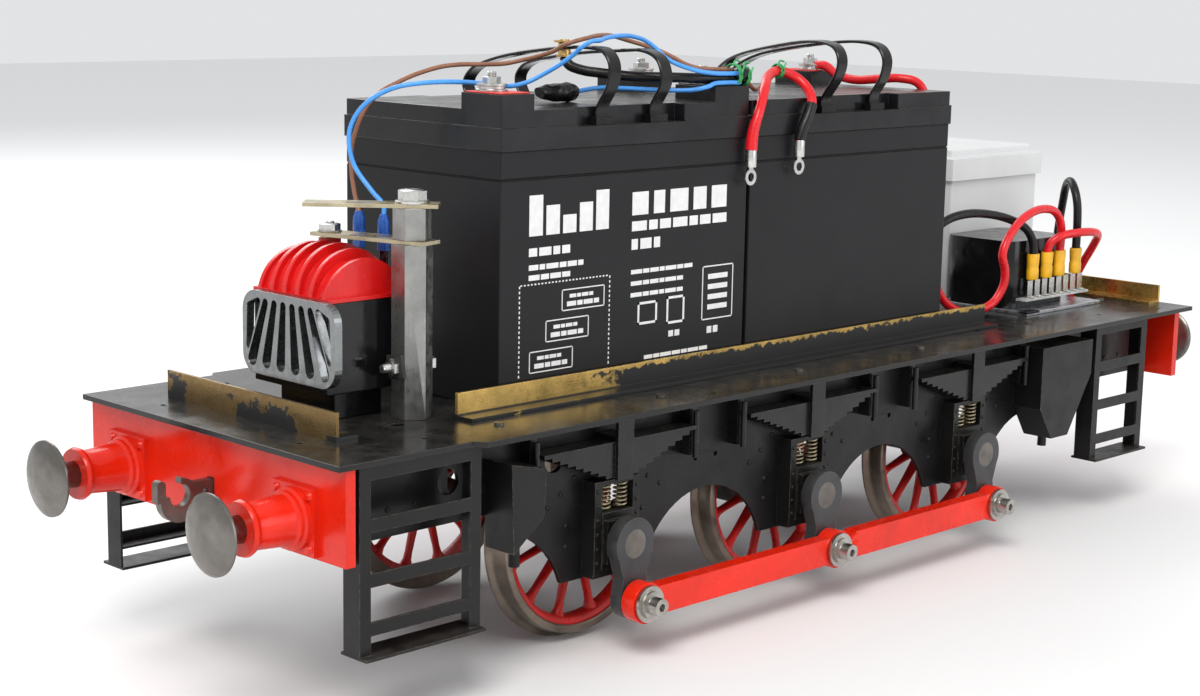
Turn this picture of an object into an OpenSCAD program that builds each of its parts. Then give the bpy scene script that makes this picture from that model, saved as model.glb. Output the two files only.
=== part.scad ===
// Six-coupled outside-framed electric locomotive chassis, 5 inch gauge, with its body off.
// Origin: under the middle of the chassis, level with the bottoms of the wheel flanges.
// +X runs to the rear, the front (horn) end is at -X, the near side is at -Y, +Z is up.

/* [Deck and beams] */
// Length of the deck plate
deck_len = 778; // [760:2:800]
// Width of the deck plate along the sides
deck_w = 238; // [236:1:246]
// Width of the deck plate over the front platform
platform_w = 226; // [224:1:234]
// Height of the deck's top face above the flange bottoms
deck_top = 138; // [137:0.5:142]
// Thickness of the deck plate
deck_t = 3; // [2:0.5:3]
// Width of the buffer beams
beam_w = 223; // [216:1:224]
// Height of the buffer beams
beam_h = 48.5; // [44:0.5:50]
// Thickness of the buffer beams
beam_t = 6; // [5:0.5:6]
// Distance over the outer faces of the buffer beams
beam_span = 768; // [764:2:770]

/* [Wheels and motion] */
// Distance between neighbouring axles
wheelbase = 165; // [164:0.5:166]
// Distance of the middle axle ahead of the deck's middle
axle_ahead = 21; // [20:0.5:22]
// Radius of the wheel treads
tread_r = 60; // [59:0.5:60.5]
// Height of the wheel flanges
flange_h = 3.5; // [3:0.25:3.5]
// Distance between the backs of the wheels on one axle
back_to_back = 119; // [118:0.5:120]
// Number of spokes in a wheel
spokes = 12; // [10:1:14]
// Throw of the fly cranks
throw = 31.5; // [30:0.5:32]
// Radius of the axles
axle_r = 8; // [7:0.5:8]
// Radius of the crankpins
pin_r = 5; // [4.5:0.25:5]
// Radial clearance of the running fits
fit = 0.05; // [0.03:0.01:0.08]

/* [Buffers] */
// Distance from the middle line to a buffer
buffer_y = 73.5; // [72:0.5:75]
// Height of the buffers above the flange bottoms
buffer_z = 105; // [104:0.5:107]
// Radius of a buffer head
head_r = 20.3; // [19:0.1:21]
// Travel of a buffer
buffer_travel = 8; // [6:0.5:8]

/* [Batteries] */
// Length of one battery
bat_len = 197; // [195:0.5:197]
// Width of one battery
bat_w = 130; // [128:1:130]
// Height of the battery case under its lid
case_h = 138; // [136:0.5:140]
// Gap between the two batteries
bat_gap = 3; // [2:0.5:4]
// Front end of the front battery
bat_x = -244; // [-246:0.5:-243]

/* [Hidden] */
$fn = 64;
axle_z = tread_r + flange_h;
axle_xs = [for (i = [-1:1]) i * wheelbase - axle_ahead];
deck_bottom = deck_top - deck_t;
notch_x = -300;
beam_x = beam_span / 2;
beam_z = deck_bottom - beam_h;
frame_y = 86;
frame_t = 3;
frame_bottom = 42;
frame_end = beam_x - beam_t;
arch_r = 52.5;
arch_z = 25.5;
horn_half = 12.3;
box_half = 12;
box_h = 32;
seat_z = 95;
guide_w = 5;
crank_y = 105.5;
crank_t = 8;
rod_y = 114.5;
rod_t = 9;
rod_h = 16;
boss_r = 11.5;
knuckle_x = 17;
tyre_w = 13.5;
leaf_n = 9;
leaf_t = 2.2;
leaf_top = 119.5;
leaf_half = 59;
leaf_y = 90;
leaf_w = 12.5;
bat_top = deck_top + case_h;
bat_xs = [bat_x + bat_len / 2, bat_x + 1.5 * bat_len + bat_gap];
step_z = 39;
rim_h = 12.3;
lid_h = 21.3;
terminal_front = -bat_len / 2 + 12;
terminal_rear = bat_len / 2 - 18;
terminal_y = -bat_w / 2 + 21;
terminal_h = 8.7;
strap_t = 2;
strap_w = 9;
strap_end = bat_top + rim_h - 1;
// Middle lines of the strap handles in Y and Z, near end first
strap_lines = [
    [[-61, strap_end], [-60, 296], [-69, 309], [-70.5, 320], [-65, 327], [-55, 329], [-27, 328], [19, 322.5],
        [48, 316], [60, 310], [64.5, 303], [61, 295], [61, strap_end]],
    [[-61, strap_end], [-60, 296], [-68.5, 309], [-67, 319], [-61, 324.5], [-49, 327], [-30, 326], [0, 323.8],
        [30, 320], [54, 315.5], [64, 309], [65, 302], [61, 295], [61, strap_end]],
    [[-61, strap_end], [-60, 296], [-72, 309], [-76, 319], [-71, 327], [-58, 330], [-35, 329.5], [0, 325],
        [34, 319], [55, 312], [65, 304], [61, 295], [61, strap_end]],
    [[-61, strap_end], [-60, 296], [-68, 308], [-70, 319], [-64, 327], [-50, 329.5], [-28, 328.5], [5, 324.5],
        [36, 319], [56, 312], [66, 304], [61, 295], [61, strap_end]]];
// X of the near and far ends of each strap
strap_ends = [[-165, -153], [-122, -110], [30, 70], [78, 87]];
post_x = -290;
post_y = -48;
low_strip_z = 230;
high_strip_z = 249;
strip_t = 2;
horn_x = -310;
horn_y = -10;
horn_z = 153;
dome_z = 202;
ctl_x = 253;
ctl_y = -57;
tub_x = 262;
sleeve_z = 162.2;
sleeve_h = 17;
sleeve_xs = [273, 290.5, 306.5, 327.5];
button_place = [-136, 0, 321.5];
// Radii and routes of the wires; each route is a list of points along the wire's middle line
wire_r = 1.3;
cable_r = 3;
blue_line = [[-278, -10, 240], [-278, -9.5, 246], [-280, -2, 253], [-283, 9, 266], [-284, 12, 281],
    [-281, 9, 293], [-276, 1, 302], [-268, -9, 308], [-256, -19, 310.5], [-240, -26, 310.8],
    [-222, -27, 309.4], [-207, -24.5, 307.9], [-197, -22.5, 307.4], [-188, -25.2, 309.5], [-181, -30.5, 314],
    [-176, -38, 319.4], [-172.8, -45, 324.8], [-172, -51, 329.4], [-168.5, -55, 332.6], [-162, -55, 333],
    [-154, -51, 334], [-142, -46.5, 334.8], [-126, -42, 334.8], [-111, -39, 332.4], [-102.5, -40, 328],
    [-100, -45, 323], [-98, -52, 319.4], [-91, -58, 316.2], [-82, -60.7, 314.3], [-70, -62.3, 313.3],
    [-54, -62.5, 313.2]];
brown_line = [[-278, 11, 240], [-277.5, 15, 249], [-277, 18.5, 262], [-277, 18, 276], [-273, 13, 294],
    [-266, 8, 304], [-254, 7, 309.5], [-242, 6, 313.6], [-227, 4, 317.2], [-213, 2, 318.4], [-199, -1, 318.3],
    [-185, -2, 318.5], [-176.5, -9, 320.8], [-172.5, -19, 323.6], [-171, -28, 326.4], [-169.8, -35, 330],
    [-164.5, -39.5, 332.4], [-155, -38.5, 333.8], [-143, -34, 334.8], [-124.5, -26, 334.4],
    [-108, -22.5, 331.6], [-94, -23.5, 328.4], [-86, -29.5, 325], [-83, -38, 321.3], [-82.5, -47, 318],
    [-79, -54, 316.2], [-70, -57, 315.6], [-54, -57.5, 315]];
blue_joint_line = [[-151, -22, 302.5], [-136, -28, 305], [-117, -35, 304.5], [-97, -45, 303.5], [-88, -56, 304],
    [-82, -63, 306], [-74, -63.5, 308], [-54, -63.4, 307.9]];
sheathed_line = [[-136, 0, 321.5], [-135.2, -4, 316.6], [-131.5, -12, 314], [-126, -19.5, 312.9],
    [-118, -27, 311.8], [-110, -35, 311.2], [-94, -50, 311], [-80, -57, 310.6], [-66, -58.5, 310.2],
    [-54, -58.5, 310.2]];
brown_tail_line = [[-45, -60, 310], [-38, -58, 305], [-29, -54, 302.5], [-19, -49, 304], [-10, -46.5, 307.5],
    [-4, -45.4, 311]];
jumper_line = [[-50, -70.2, 268.7], [-48.5, -70.2, 280], [-43.5, -70, 291], [-33, -64.5, 303], [-19, -55, 310],
    [-4, -50, 313], [6, -54, 309.8], [9, -61.5, 303.8], [6, -68.8, 296.3], [1, -71, 288], [-3.5, -70.6, 280],
    [-6, -70.2, 272.7]];
red_loop_line = [[306.5, -57, 179.2], [307, -57, 193], [303, -57, 203], [291, -58, 209.5], [271, -59, 210.5],
    [250, -60.5, 205], [234, -61.5, 194], [228, -61.5, 183], [232, -61.5, 171], [232, -60.5, 160], [224, -58, 149],
    [208, -55, 144.5], [192, -53, 146], [178, -50, 154], [167, -47, 174], [161, -44, 215], [158.5, -43, 262],
    [157.7, -42, 289], [154, -38, 301], [147, -28, 304], [143, -14, 303], [141, 4, 301.5], [141, 20, 304],
    [141, 30, 309.6], [141, 38, 310]];
red_down_line = [[290.5, -57, 179.2], [291.5, -59, 186], [298, -63.5, 190.8], [311, -67.5, 192.5],
    [328, -68.5, 192], [342, -65.5, 188.5], [350, -57.5, 179.5], [352.5, -49, 167], [353, -42, 154],
    [353, -38.5, 145], [353, -38, 138]];
black_arch_line = [[273, -57, 179.2], [272, -56.5, 188], [264, -55, 198], [247, -52, 205.5], [226, -48, 210],
    [205, -45, 211], [188, -41, 207], [177, -36, 196], [171, -31, 178], [168, -28, 158], [168, -27.5, 147],
    [168, -27.5, 138]];
black_up_line = [[327.5, -57, 179.2], [327.5, -57, 196], [327.5, -56, 211], [330.5, -51, 221.5],
    [337, -43, 226], [346, -34, 221], [352, -28, 207], [354.5, -24, 188], [355, -22, 168], [355, -21.5, 150],
    [355, -21.5, 138]];
spade_places = [[-278, 11, 240], [-278, -10, 240]];

function unit(v) = v / norm(v);
module both_sides() { children(); mirror([0, 1, 0]) children(); }
module both_ends() { children(); mirror([1, 0, 0]) children(); }
// A flat shape drawn in X and Z, standing on the near side from y = -inner to y = -(inner + t)
module side_plate(inner, t) translate([0, -inner, 0]) rotate([90, 0, 0]) linear_extrude(t) children();
// A round bar along Y on the near side
module bar_y(r, from, to) translate([0, -from, 0]) rotate([90, 0, 0]) cylinder(r = r, h = to - from);
// A box given by two opposite corners
module block(a, b) translate(a) cube(b - a);

// ---- Frame ----
module frame_outline() {
    frame_web();
    translate([240, 58]) square([30, 34]);
}
module frame_web() difference() {
    translate([-frame_end, frame_bottom]) square([2 * frame_end, deck_bottom - frame_bottom]);
    for (x = concat(axle_xs, [axle_xs[0] - wheelbase])) translate([x + wheelbase / 2, arch_z]) circle(r = arch_r);
    translate([-frame_end - 1, 0]) square([frame_end + 1 + axle_xs[0] - wheelbase / 2, 90]);
    translate([axle_xs[2] + wheelbase / 2, 0]) square([frame_end, 90]);
    for (x = axle_xs) translate([x - horn_half, 0]) square([2 * horn_half, seat_z]);
    for (x = axle_xs, s = [-1, 1]) translate([x + s * 74, 96]) circle(r = 1.6);
    for (x = [-300, -225, 190, 300]) translate([x, 112]) circle(r = 7);
}
module frame_plates() color("#1c1c1d") both_sides() side_plate(frame_y, frame_t) frame_outline();

module horn_guides() color("#2a2a2b") both_sides() for (x = axle_xs) translate([x, 0, 0]) {
    for (s = [-1, 1]) block([s > 0 ? horn_half : -horn_half - guide_w, -99, 45],
                            [s > 0 ? horn_half + guide_w : -horn_half, -frame_y - frame_t, seat_z]);
    block([-horn_half - guide_w, -98, 43.2], [horn_half + guide_w, -frame_y - frame_t, 47.2]);
    block([-horn_half - guide_w, -99, seat_z], [horn_half + guide_w, -frame_y - frame_t, 97.5]);
}

module frame_stretchers() color("#1a1a1b") {
    for (x = [-300, -103.5, 61.5, 226])
        block([x - 2, -frame_y, 96], [x + 2, frame_y, 132]);
    block([-352, -frame_y, 129], [-306, frame_y, 132]);
    block([306, -frame_y, 129], [352, frame_y, 132]);
    // Angles and bolts that hold the beams to the frames
    both_ends() both_sides() {
        block([-frame_end, -frame_y, 98], [-frame_end + 3, -frame_y + 18, 128]);
        block([-frame_end + 3, -frame_y, 98], [-frame_end + 20, -frame_y + 3, 128]);
        translate([-frame_end + 3, -frame_y + 9, 113]) rotate([0, 90, 0]) cylinder(r = 3.2, h = 3, $fn = 6);
    }
}

module beam(x) difference() {
    block([x, -beam_w / 2, beam_z], [x + beam_t, beam_w / 2, deck_bottom]);
    for (s = [-1, 1]) translate([x - 1, s * buffer_y, buffer_z]) rotate([0, 90, 0]) cylinder(r = 7.5, h = beam_t + 2);
    block([x - 1, -3.2, buffer_z - 6.4], [x + beam_t + 1, 3.2, buffer_z + 6.4]);
}
module front_beam() color("#d93a1e") beam(-beam_x);
module rear_beam() color("#d93a1e") mirror([1, 0, 0]) beam(-beam_x);

module deck_outline() polygon([
    [-deck_len / 2, -platform_w / 2], [notch_x - 4, -platform_w / 2], [notch_x, -deck_w / 2],
    [deck_len / 2, -deck_w / 2], [deck_len / 2, deck_w / 2], [notch_x, deck_w / 2],
    [notch_x - 4, platform_w / 2], [-deck_len / 2, platform_w / 2]]);
module deck() color("#202224") difference() {
    translate([0, 0, deck_bottom]) linear_extrude(deck_t) deck_outline();
    for (p = [[-372, 60], [-372, -60], [-312, 88], [-318, -92], [-345, -88], [-312, 20], [212, -92], [300, -96],
              [352, -92], [352, 92], [212, 92], [-120, 108], [360, 108], [-120, -108], [360, -108]])
        translate([p[0], p[1], deck_bottom - 1]) cylinder(r = 1.6, h = deck_t + 2);
    for (p = [[-308, -58], [175, -78], [175, 78]])
        translate([p[0], p[1], deck_bottom - 1]) cylinder(r = 3.5, h = deck_t + 2);
}

// One ladder of steps, its front rail at x = 0
module ladder(w) {
    for (x = [0, w - 7]) {
        block([x, -112, step_z + 1.5], [x + 7, -110.5, deck_bottom]);
        block([x == 0 ? 0 : x + 5.5, -110.5, step_z + 1.5], [x == 0 ? 1.5 : x + 7, -99, deck_bottom]);
    }
    for (z = [50, 74.5, 102, 128]) {
        block([7, -112, z], [w - 7, -110.5, z + 7]);
        block([1.5, -110.5, z], [w - 1.5, -100, z + 1.5]);
    }
    block([0, -117, step_z], [w, -97, step_z + 1.5]);
}
module steps() color("#1d1d1e") both_sides() {
    translate([-376, 0, 0]) ladder(78);
    translate([273, 0, 0]) ladder(66);
}

module sandboxes() color("#1b1b1c") both_sides() {
    side_plate(frame_y + frame_t, 22) polygon([[-276, 121], [-251.5, 115.5], [-252.5, 90], [-274, 73]]);
    side_plate(frame_y + frame_t, 22) polygon([[209, 126], [270, 126], [270, 102], [244, 62], [224, 62], [209, 84]]);
    translate([-262, -98, 62]) cylinder(r = 3, h = 22);
    translate([233, -98, 54]) cylinder(r = 3, h = 9);
}

// ---- Springs ----
module leaf_springs() color("#262627") both_sides() for (x = axle_xs) translate([x, 0, 0]) {
    for (i = [0:leaf_n - 1]) block([-leaf_half + 5.8 * i, -leaf_y - leaf_w, leaf_top - (i + 1) * leaf_t],
                                   [leaf_half - 5.8 * i, -leaf_y, leaf_top - i * leaf_t]);
    // Buckle and hangers
    block([-6, -104.8, 98.2], [6, -leaf_y - leaf_w, 134]);
    block([-6, -104.8, 119.5], [6, -leaf_y, 122.5]);
    for (s = [-1, 1]) {
        block([s * 62 - 2.4, -97, 101], [s * 62 + 2.4, -frame_y - frame_t, 134]);
        translate([s * 62, -99.5, 100]) cylinder(r = 1.8, h = 27);
    }
}
module coil_springs() color("#8f8a70") both_sides() for (x = axle_xs, s = [-1, 1])
    translate([x + s * 6.4, -94.5, axle_z + box_h / 2]) difference() {
        cylinder(r = 4.2, h = seat_z - axle_z - box_h / 2);
        translate([0, 0, -1]) cylinder(r = 2.8, h = 30);
    }

// ---- Running gear ----
module axleboxes() color("#161616") both_sides() for (x = axle_xs) translate([x, 0, axle_z]) difference() {
    union() {
        block([-box_half, -99.5, -box_h / 2], [box_half, -82, box_h / 2]);
        block([-box_half + 1, -103, -12], [box_half - 1, -99.5, 12]);
        block([-box_half - 5, -85.6, -14], [box_half + 5, -82, 14]);
    }
    bar_y(axle_r + fit, 81, 104);
}

// Flat toothed wheel outline
module gear_outline(n, r) {
    circle(r = r - 1.1);
    for (i = [0:n - 1]) rotate(i * 360 / n) polygon([[r - 1.6, -0.95], [r + 0.8, -0.4], [r + 0.8, 0.4], [r - 1.6, 0.95]]);
}
module wheel() {
    // Tyre and rim
    translate([0, -back_to_back / 2, 0]) rotate([90, 0, 0]) rotate_extrude($fn = 96) polygon([
        [tread_r - 9.5, 0], [tread_r + flange_h - 0.8, 0], [tread_r + flange_h, 0.9], [tread_r + flange_h - 0.4, 2.2],
        [tread_r + 0.4, 3.4], [tread_r, 4.5], [tread_r - 0.4, tyre_w - 1], [tread_r - 1.2, tyre_w],
        [tread_r - 5, tyre_w], [tread_r - 5, tyre_w - 1.2], [tread_r - 9.5, tyre_w - 1.2]]);
    // Hub and spokes
    translate([0, -back_to_back / 2, 0]) rotate([90, 0, 0]) difference() {
        union() {
            cylinder(r = 14, h = tyre_w + 1);
            for (i = [0:spokes - 1]) rotate([0, 0, (i + 0.5) * 360 / spokes]) translate([12, 0, 3])
                linear_extrude(7.5) polygon([[0, -2.8], [tread_r - 20.5, -1.7], [tread_r - 20.5, 1.7], [0, 2.8]]);
        }
        translate([0, 0, -1]) cylinder(r = axle_r, h = tyre_w + 3);
    }
}
module wheels(i) color("#c9321c") translate([axle_xs[i], 0, axle_z]) both_sides() wheel();
module axle(i) color("#8d8d8d") translate([axle_xs[i], 0, axle_z]) {
    translate([0, 0, 0]) rotate([90, 0, 0]) cylinder(r = axle_r, h = 2 * (crank_y + crank_t), center = true);
    if (i != 1) both_sides() difference() {
        bar_y(12, 52, 57);
        bar_y(axle_r, 51, 58);
    }
}
// One fly crank, pin end hanging down, with its crankpin, washers and nut
module crank_web() side_plate(crank_y, crank_t) difference() {
    union() {
        circle(r = 14.5);
        translate([0, -throw]) circle(r = 11);
        polygon([[-13, -6], [-8.8, -throw + 13], [-10.6, -throw + 3], [10.6, -throw + 3], [8.8, -throw + 13], [13, -6]]);
    }
    circle(r = axle_r);
    translate([0, -throw]) circle(r = pin_r);
}
module crankpin() translate([0, 0, -throw]) {
    bar_y(pin_r, crank_y, 124);
    bar_y(10.3, 124, 126.2);
    bar_y(7.6, 126.2, 128);
    difference() {
        bar_y(5, 128, 134.5);
        bar_y(2.2, 131, 135);
    }
}
// Near-side cranks hang down; the far side is a quarter turn on
module at_crank(i, side) translate([axle_xs[i], 0, axle_z])
    if (side < 0) children(); else mirror([0, 1, 0]) rotate([0, -90, 0]) children();
module cranks(i) color("#3c3c3d") for (side = [-1, 1]) at_crank(i, side) crank_web();
module crankpins(i) color("#b9b9b4") for (side = [-1, 1]) at_crank(i, side) crankpin();

// Coupling rods of one side, drawn about the near-side middle crankpin
module rod_front() side_plate(rod_y, rod_t) difference() {
    union() {
        circle(r = boss_r);
        translate([-wheelbase, 0]) circle(r = boss_r);
        translate([-wheelbase, -rod_h / 2]) square([wheelbase, rod_h]);
        translate([0, -rod_h / 2]) square([knuckle_x - 7.2, rod_h]);
    }
    circle(r = pin_r + fit);
    translate([-wheelbase, 0]) circle(r = pin_r + 0.6);
}
module rod_tongue() difference() {
    union() {
        side_plate(rod_y + 3, 3) translate([knuckle_x, 0]) circle(r = 7);
        side_plate(rod_y + 3, 3) translate([knuckle_x - 7.2, -5]) square([7.2, 10]);
    }
    translate([knuckle_x, 0, 0]) bar_y(2.5, rod_y, rod_y + 9);
}
module rod_rear() difference() {
    union() {
        side_plate(rod_y, rod_t) translate([wheelbase, 0]) circle(r = boss_r);
        side_plate(rod_y, rod_t) translate([knuckle_x, -rod_h / 2]) square([wheelbase - knuckle_x, rod_h]);
        side_plate(rod_y, rod_t) translate([knuckle_x, 0]) circle(r = rod_h / 2 - 1);
    }
    side_plate(rod_y + 2.7, 3.6) translate([knuckle_x - 9, -9]) square([17, 18]);
    translate([knuckle_x, 0, 0]) bar_y(2.5, rod_y - 1, rod_y + 10);
    translate([wheelbase, 0, 0]) bar_y(pin_r + 0.6, rod_y - 1, rod_y + 10);
}
module knuckle() translate([knuckle_x, 0, 0]) {
    bar_y(2.5, rod_y - 0.4, rod_y + rod_t);
    bar_y(6.6, rod_y + rod_t, rod_y + rod_t + 1);
    bar_y(2.4, rod_y + rod_t + 1, rod_y + rod_t + 2.4);
}
module rod_set() {
    rod_front();
    rod_tongue();
    rod_rear();
    knuckle();
}
module rods_near() color("#e8452c") translate([axle_xs[1], 0, axle_z - throw]) rod_set();
module rods_far() color("#e8452c") translate([axle_xs[1] + throw, 0, axle_z]) mirror([0, 1, 0]) rod_set();

// Axle-hung motor with its closed gearcase, between the wheels of the middle axle
module drive_motor() color("#2b2b2d") translate([axle_xs[1], 0, axle_z]) difference() {
    union() {
        translate([40, 0, 0]) bar_y(27, -44, 30);
        hull() {
            bar_y(18, 31, 45);
            translate([40, 0, 0]) bar_y(18, 31, 45);
        }
        bar_y(13, -44, 31);
        block([0, -30, -6], [20, 44, 6]);
        translate([40, 0, 0]) bar_y(16, 29, 32);
    }
    bar_y(axle_r + fit, -46, 47);
}

// ---- Buffers and hooks ----
// One buffer stock at the front, its axis along X at y = 0, z = 0
module stock() rotate([0, -90, 0]) translate([0, 0, beam_x]) difference() {
    union() {
        translate([-17, -17, 0]) cube([34, 34, 3]);
        rotate_extrude() polygon([[0, 3], [16, 3], [16, 5.5], [14.6, 6.5], [14.6, 8.5], [13, 9.5], [11.6, 30],
                                  [13.4, 31], [14.2, 33], [13.4, 35], [0, 35]]);
    }
    translate([0, 0, -1]) cylinder(r = 7 + fit, h = 40);
}
module buffer_stocks() color("#dc3c20") both_ends() both_sides() translate([0, -buffer_y, buffer_z]) {
    stock();
    for (a = [-1, 1], b = [-1, 1]) translate([-beam_x - 3, a * 13.3, b * 13.3]) rotate([0, -90, 0])
        cylinder(r1 = 2.4, r2 = 1.6, h = 1.6);
}
module buffer_head() rotate([0, -90, 0]) translate([0, 0, beam_x]) {
    translate([0, 0, 5]) cylinder(r = 7, h = 42);
    rotate_extrude($fn = 96) polygon([[0, 46.5], [9, 46.5], [head_r - 1.5, 49], [head_r, 50], [head_r, 51.2],
                                      [head_r - 1.6, 52.2], [14, 53.6], [7, 54.7], [0, 55]]);
}
module buffer_fr_near() color("#8e8a84") translate([0, -buffer_y, buffer_z]) buffer_head();
module buffer_fr_far() color("#8e8a84") translate([0, buffer_y, buffer_z]) buffer_head();
module buffer_rr_near() color("#8e8a84") mirror([1, 0, 0]) translate([0, -buffer_y, buffer_z]) buffer_head();
module buffer_rr_far() color("#8e8a84") mirror([1, 0, 0]) translate([0, buffer_y, buffer_z]) buffer_head();
module hook() translate([-beam_x, 0, buffer_z]) {
    translate([0, 2.5, 0]) rotate([90, 0, 0]) linear_extrude(5) difference() {
        union() {
            translate([-16, -6]) square([30, 12]);
            translate([-20, -2]) circle(r = 11.5);
            translate([-33.5, -2]) square([5, 9]);
            translate([-31, 7]) circle(r = 2.5);
        }
        translate([-20, 0.5]) circle(r = 6);
        translate([-28.5, 0.5]) square([9, 14]);
        translate([-5, 0]) circle(r = 1.8);
    }
    translate([14, 0, 0]) rotate([0, 90, 0]) cylinder(r = 2.5, h = 16);
    translate([10.2, 0, 0]) rotate([0, 90, 0]) cylinder(r = 8, h = 3.8);
}
module hook_front() color("#3b3a38") hook();
module hook_rear() color("#3b3a38") mirror([1, 0, 0]) hook();

// ---- Brass angles ----
module brass_angles() color("#b8923f") {
    // Across the front and the rear
    block([-358, -71, deck_top], [-356, 77, deck_top + 15]);
    block([-356, -71, deck_top], [-344, 77, deck_top + 2]);
    block([383, -94, deck_top], [385, 94, deck_top + 13]);
    block([371, -94, deck_top], [383, 94, deck_top + 2]);
    // Along both sides of the batteries
    both_sides() {
        block([-276, -68.5, deck_top], [200, -66.5, deck_top + 14]);
        block([-276, -80, deck_top], [200, -68.5, deck_top + 2]);
    }
}

// ---- Batteries ----
module battery_cases() color("#2b2c2e") for (x = bat_xs) translate([x, 0, deck_top]) difference() {
    block([-bat_len / 2, -bat_w / 2, 0], [bat_len / 2, bat_w / 2, case_h]);
    difference() {
        block([-bat_len, -bat_w, 122.4], [bat_len, bat_w, 123.4]);
        block([-bat_len / 2 + 0.6, -bat_w / 2 + 0.6, 122], [bat_len / 2 - 0.6, bat_w / 2 - 0.6, 124]);
    }
}
// The rear battery is turned end for end, so its terminals lie on the far side
module at_battery(i) translate([bat_xs[i], 0, bat_top]) rotate([0, 0, 180 * i]) children();
module battery_lids() color("#2e2f31") for (i = [0, 1]) at_battery(i) difference() {
    union() {
        block([-bat_len / 2 - 1, -bat_w / 2 - 1, 0], [bat_len / 2 + 1, bat_w / 2 + 1, rim_h]);
        block([-bat_len / 2, -bat_w / 2, rim_h], [bat_len / 2, bat_w / 2, lid_h]);
        for (s = [-1, 1]) block([s < 0 ? -bat_len / 2 : bat_len / 2 - 30, -bat_w / 2, lid_h],
                                 [s < 0 ? -bat_len / 2 + 24 : bat_len / 2, -bat_w / 2 + 32, lid_h + terminal_h]);
    }
    // Notches for the handles
    for (s = [-1, 1]) translate([0, s * bat_w / 2, rim_h + 4]) cube([86, 16, 2 * (lid_h - rim_h) - 8], center = true);
    for (s = [-1, 1]) translate([0, s * bat_w / 2, lid_h]) cube([86, 16, 8], center = true);
}
module battery_terminals() color("#b5b5b0") for (i = [0, 1], x = [terminal_front, terminal_rear])
    at_battery(i) translate([x, terminal_y, lid_h + terminal_h]) {
        translate([-10, -14, 0]) cube([20, 24, 1]);
        translate([0, 0, 1]) cylinder(r = 8.5, h = 4);
        translate([0, 0, 5]) cylinder(r = 4.6, h = 4, $fn = 6);
        translate([0, 0, 9]) cylinder(r = 2.6, h = 2.4);
    }
// One bent strap handle, running askew from the near side to the far side
module strap(p, ends) {
    last = len(p) - 1;
    out = [for (i = [0:last]) let (d = unit(p[min(i + 1, last)] - p[max(i - 1, 0)])) strap_t / 2 * [-d.y, d.x]];
    points = [for (i = [0:last], c = [[-1, -1], [1, -1], [1, 1], [-1, 1]])
        [ends[0] + (ends[1] - ends[0]) * (p[i].x + 61) / 122 + c.x * strap_w / 2, p[i].x + c.y * out[i].x,
         p[i].y + c.y * out[i].y]];
    walls = [for (i = [0:last - 1], k = [0:3])
        [4 * i + k, 4 * i + (k + 1) % 4, 4 * i + 4 + (k + 1) % 4, 4 * i + 4 + k]];
    polyhedron(points, concat(walls, [[3, 2, 1, 0], [for (k = [0:3]) 4 * last + k]]), convexity = 6);
}
module battery_handles() color("#1a1a1a") for (i = [0:3]) strap(strap_lines[i], strap_ends[i]);

// ---- Horn and its post ----
module horn_body() color("#1a1a1b") {
    block([horn_x - 27, -36.5, horn_z], [horn_x + 27, 26, dome_z - 1]);
    block([horn_x - 16, -28, deck_top], [horn_x + 16, 18, horn_z]);
    // Contacts at the back
    block([horn_x + 27, -14, 190], [horn_x + 34.5, 15, 200]);
    for (p = spade_places) translate(p) block([-0.5, -3, -40], [0.5, 3, -17]);
}
module grille_outline(w, h, r) hull() for (a = [-1, 1], b = [-1, 1])
    translate([a * (w / 2 - r), b * (h / 2 - r)]) circle(r = r, $fn = 32);
module grille_slot(top, foot, r, low, high) hull() {
    translate([top, high]) circle(r = r, $fn = 16);
    translate([foot, low]) circle(r = r * 1.6, $fn = 16);
}
module horn_grille() color("#9a9a98") translate([horn_x - 27, horn_y, 180.2]) rotate([90, 0, -90]) difference() {
    linear_extrude(5) grille_outline(79, 44.5, 11);
    translate([0, 0, -1]) linear_extrude(7) {
        for (i = [-2.5:2.5]) grille_slot(i * 7.7, i * 12.4, 2.3, -14.6, 16.4);
        for (s = [-1, 1]) hull() {
            translate([s * 25.6, 16.6]) circle(r = 2, $fn = 16);
            translate([s * 33.4, 13.4]) circle(r = 2, $fn = 16);
            translate([s * 34.9, -8]) circle(r = 1.5, $fn = 16);
        }
    }
}
// One slice of the dome, an arc in X and Z
module dome_slice(y, t, half, h) {
    arc_r = (half * half + h * h) / (2 * h);
    translate([horn_x, y + t / 2, dome_z]) rotate([90, 0, 0]) linear_extrude(t) difference() {
        translate([0, h - arc_r]) circle(r = arc_r);
        translate([-60, -120]) square([120, 120]);
    }
}
module horn_top() color("#d92a20") {
    block([horn_x - 26.6, -37, dome_z - 1], [horn_x + 26.5, 27, dome_z + 1]);
    for (i = [0:5]) dome_slice(-32.5 + 11 * i, 3, 26, 26.4 - 0.9 * (i - 2.6) * (i - 2.6));
    for (i = [0:4]) dome_slice(-27 + 11 * i, 8.2, 23.5, 22.6 - 0.9 * (i - 2.1) * (i - 2.1));
    // Boss for the fixing screw
    translate([-303.1, 4.4, 210]) cylinder(r = 6, h = 18.6);
}
module post() color("#9b9c9a") translate([post_x, post_y, 0]) rotate([0, 0, 30]) {
    translate([0, 0, deck_top]) cylinder(r = 11, h = low_strip_z - deck_top, $fn = 6);
    translate([0, 0, low_strip_z + strip_t]) cylinder(r = 10.4, h = high_strip_z - low_strip_z - strip_t, $fn = 6);
}
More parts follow.
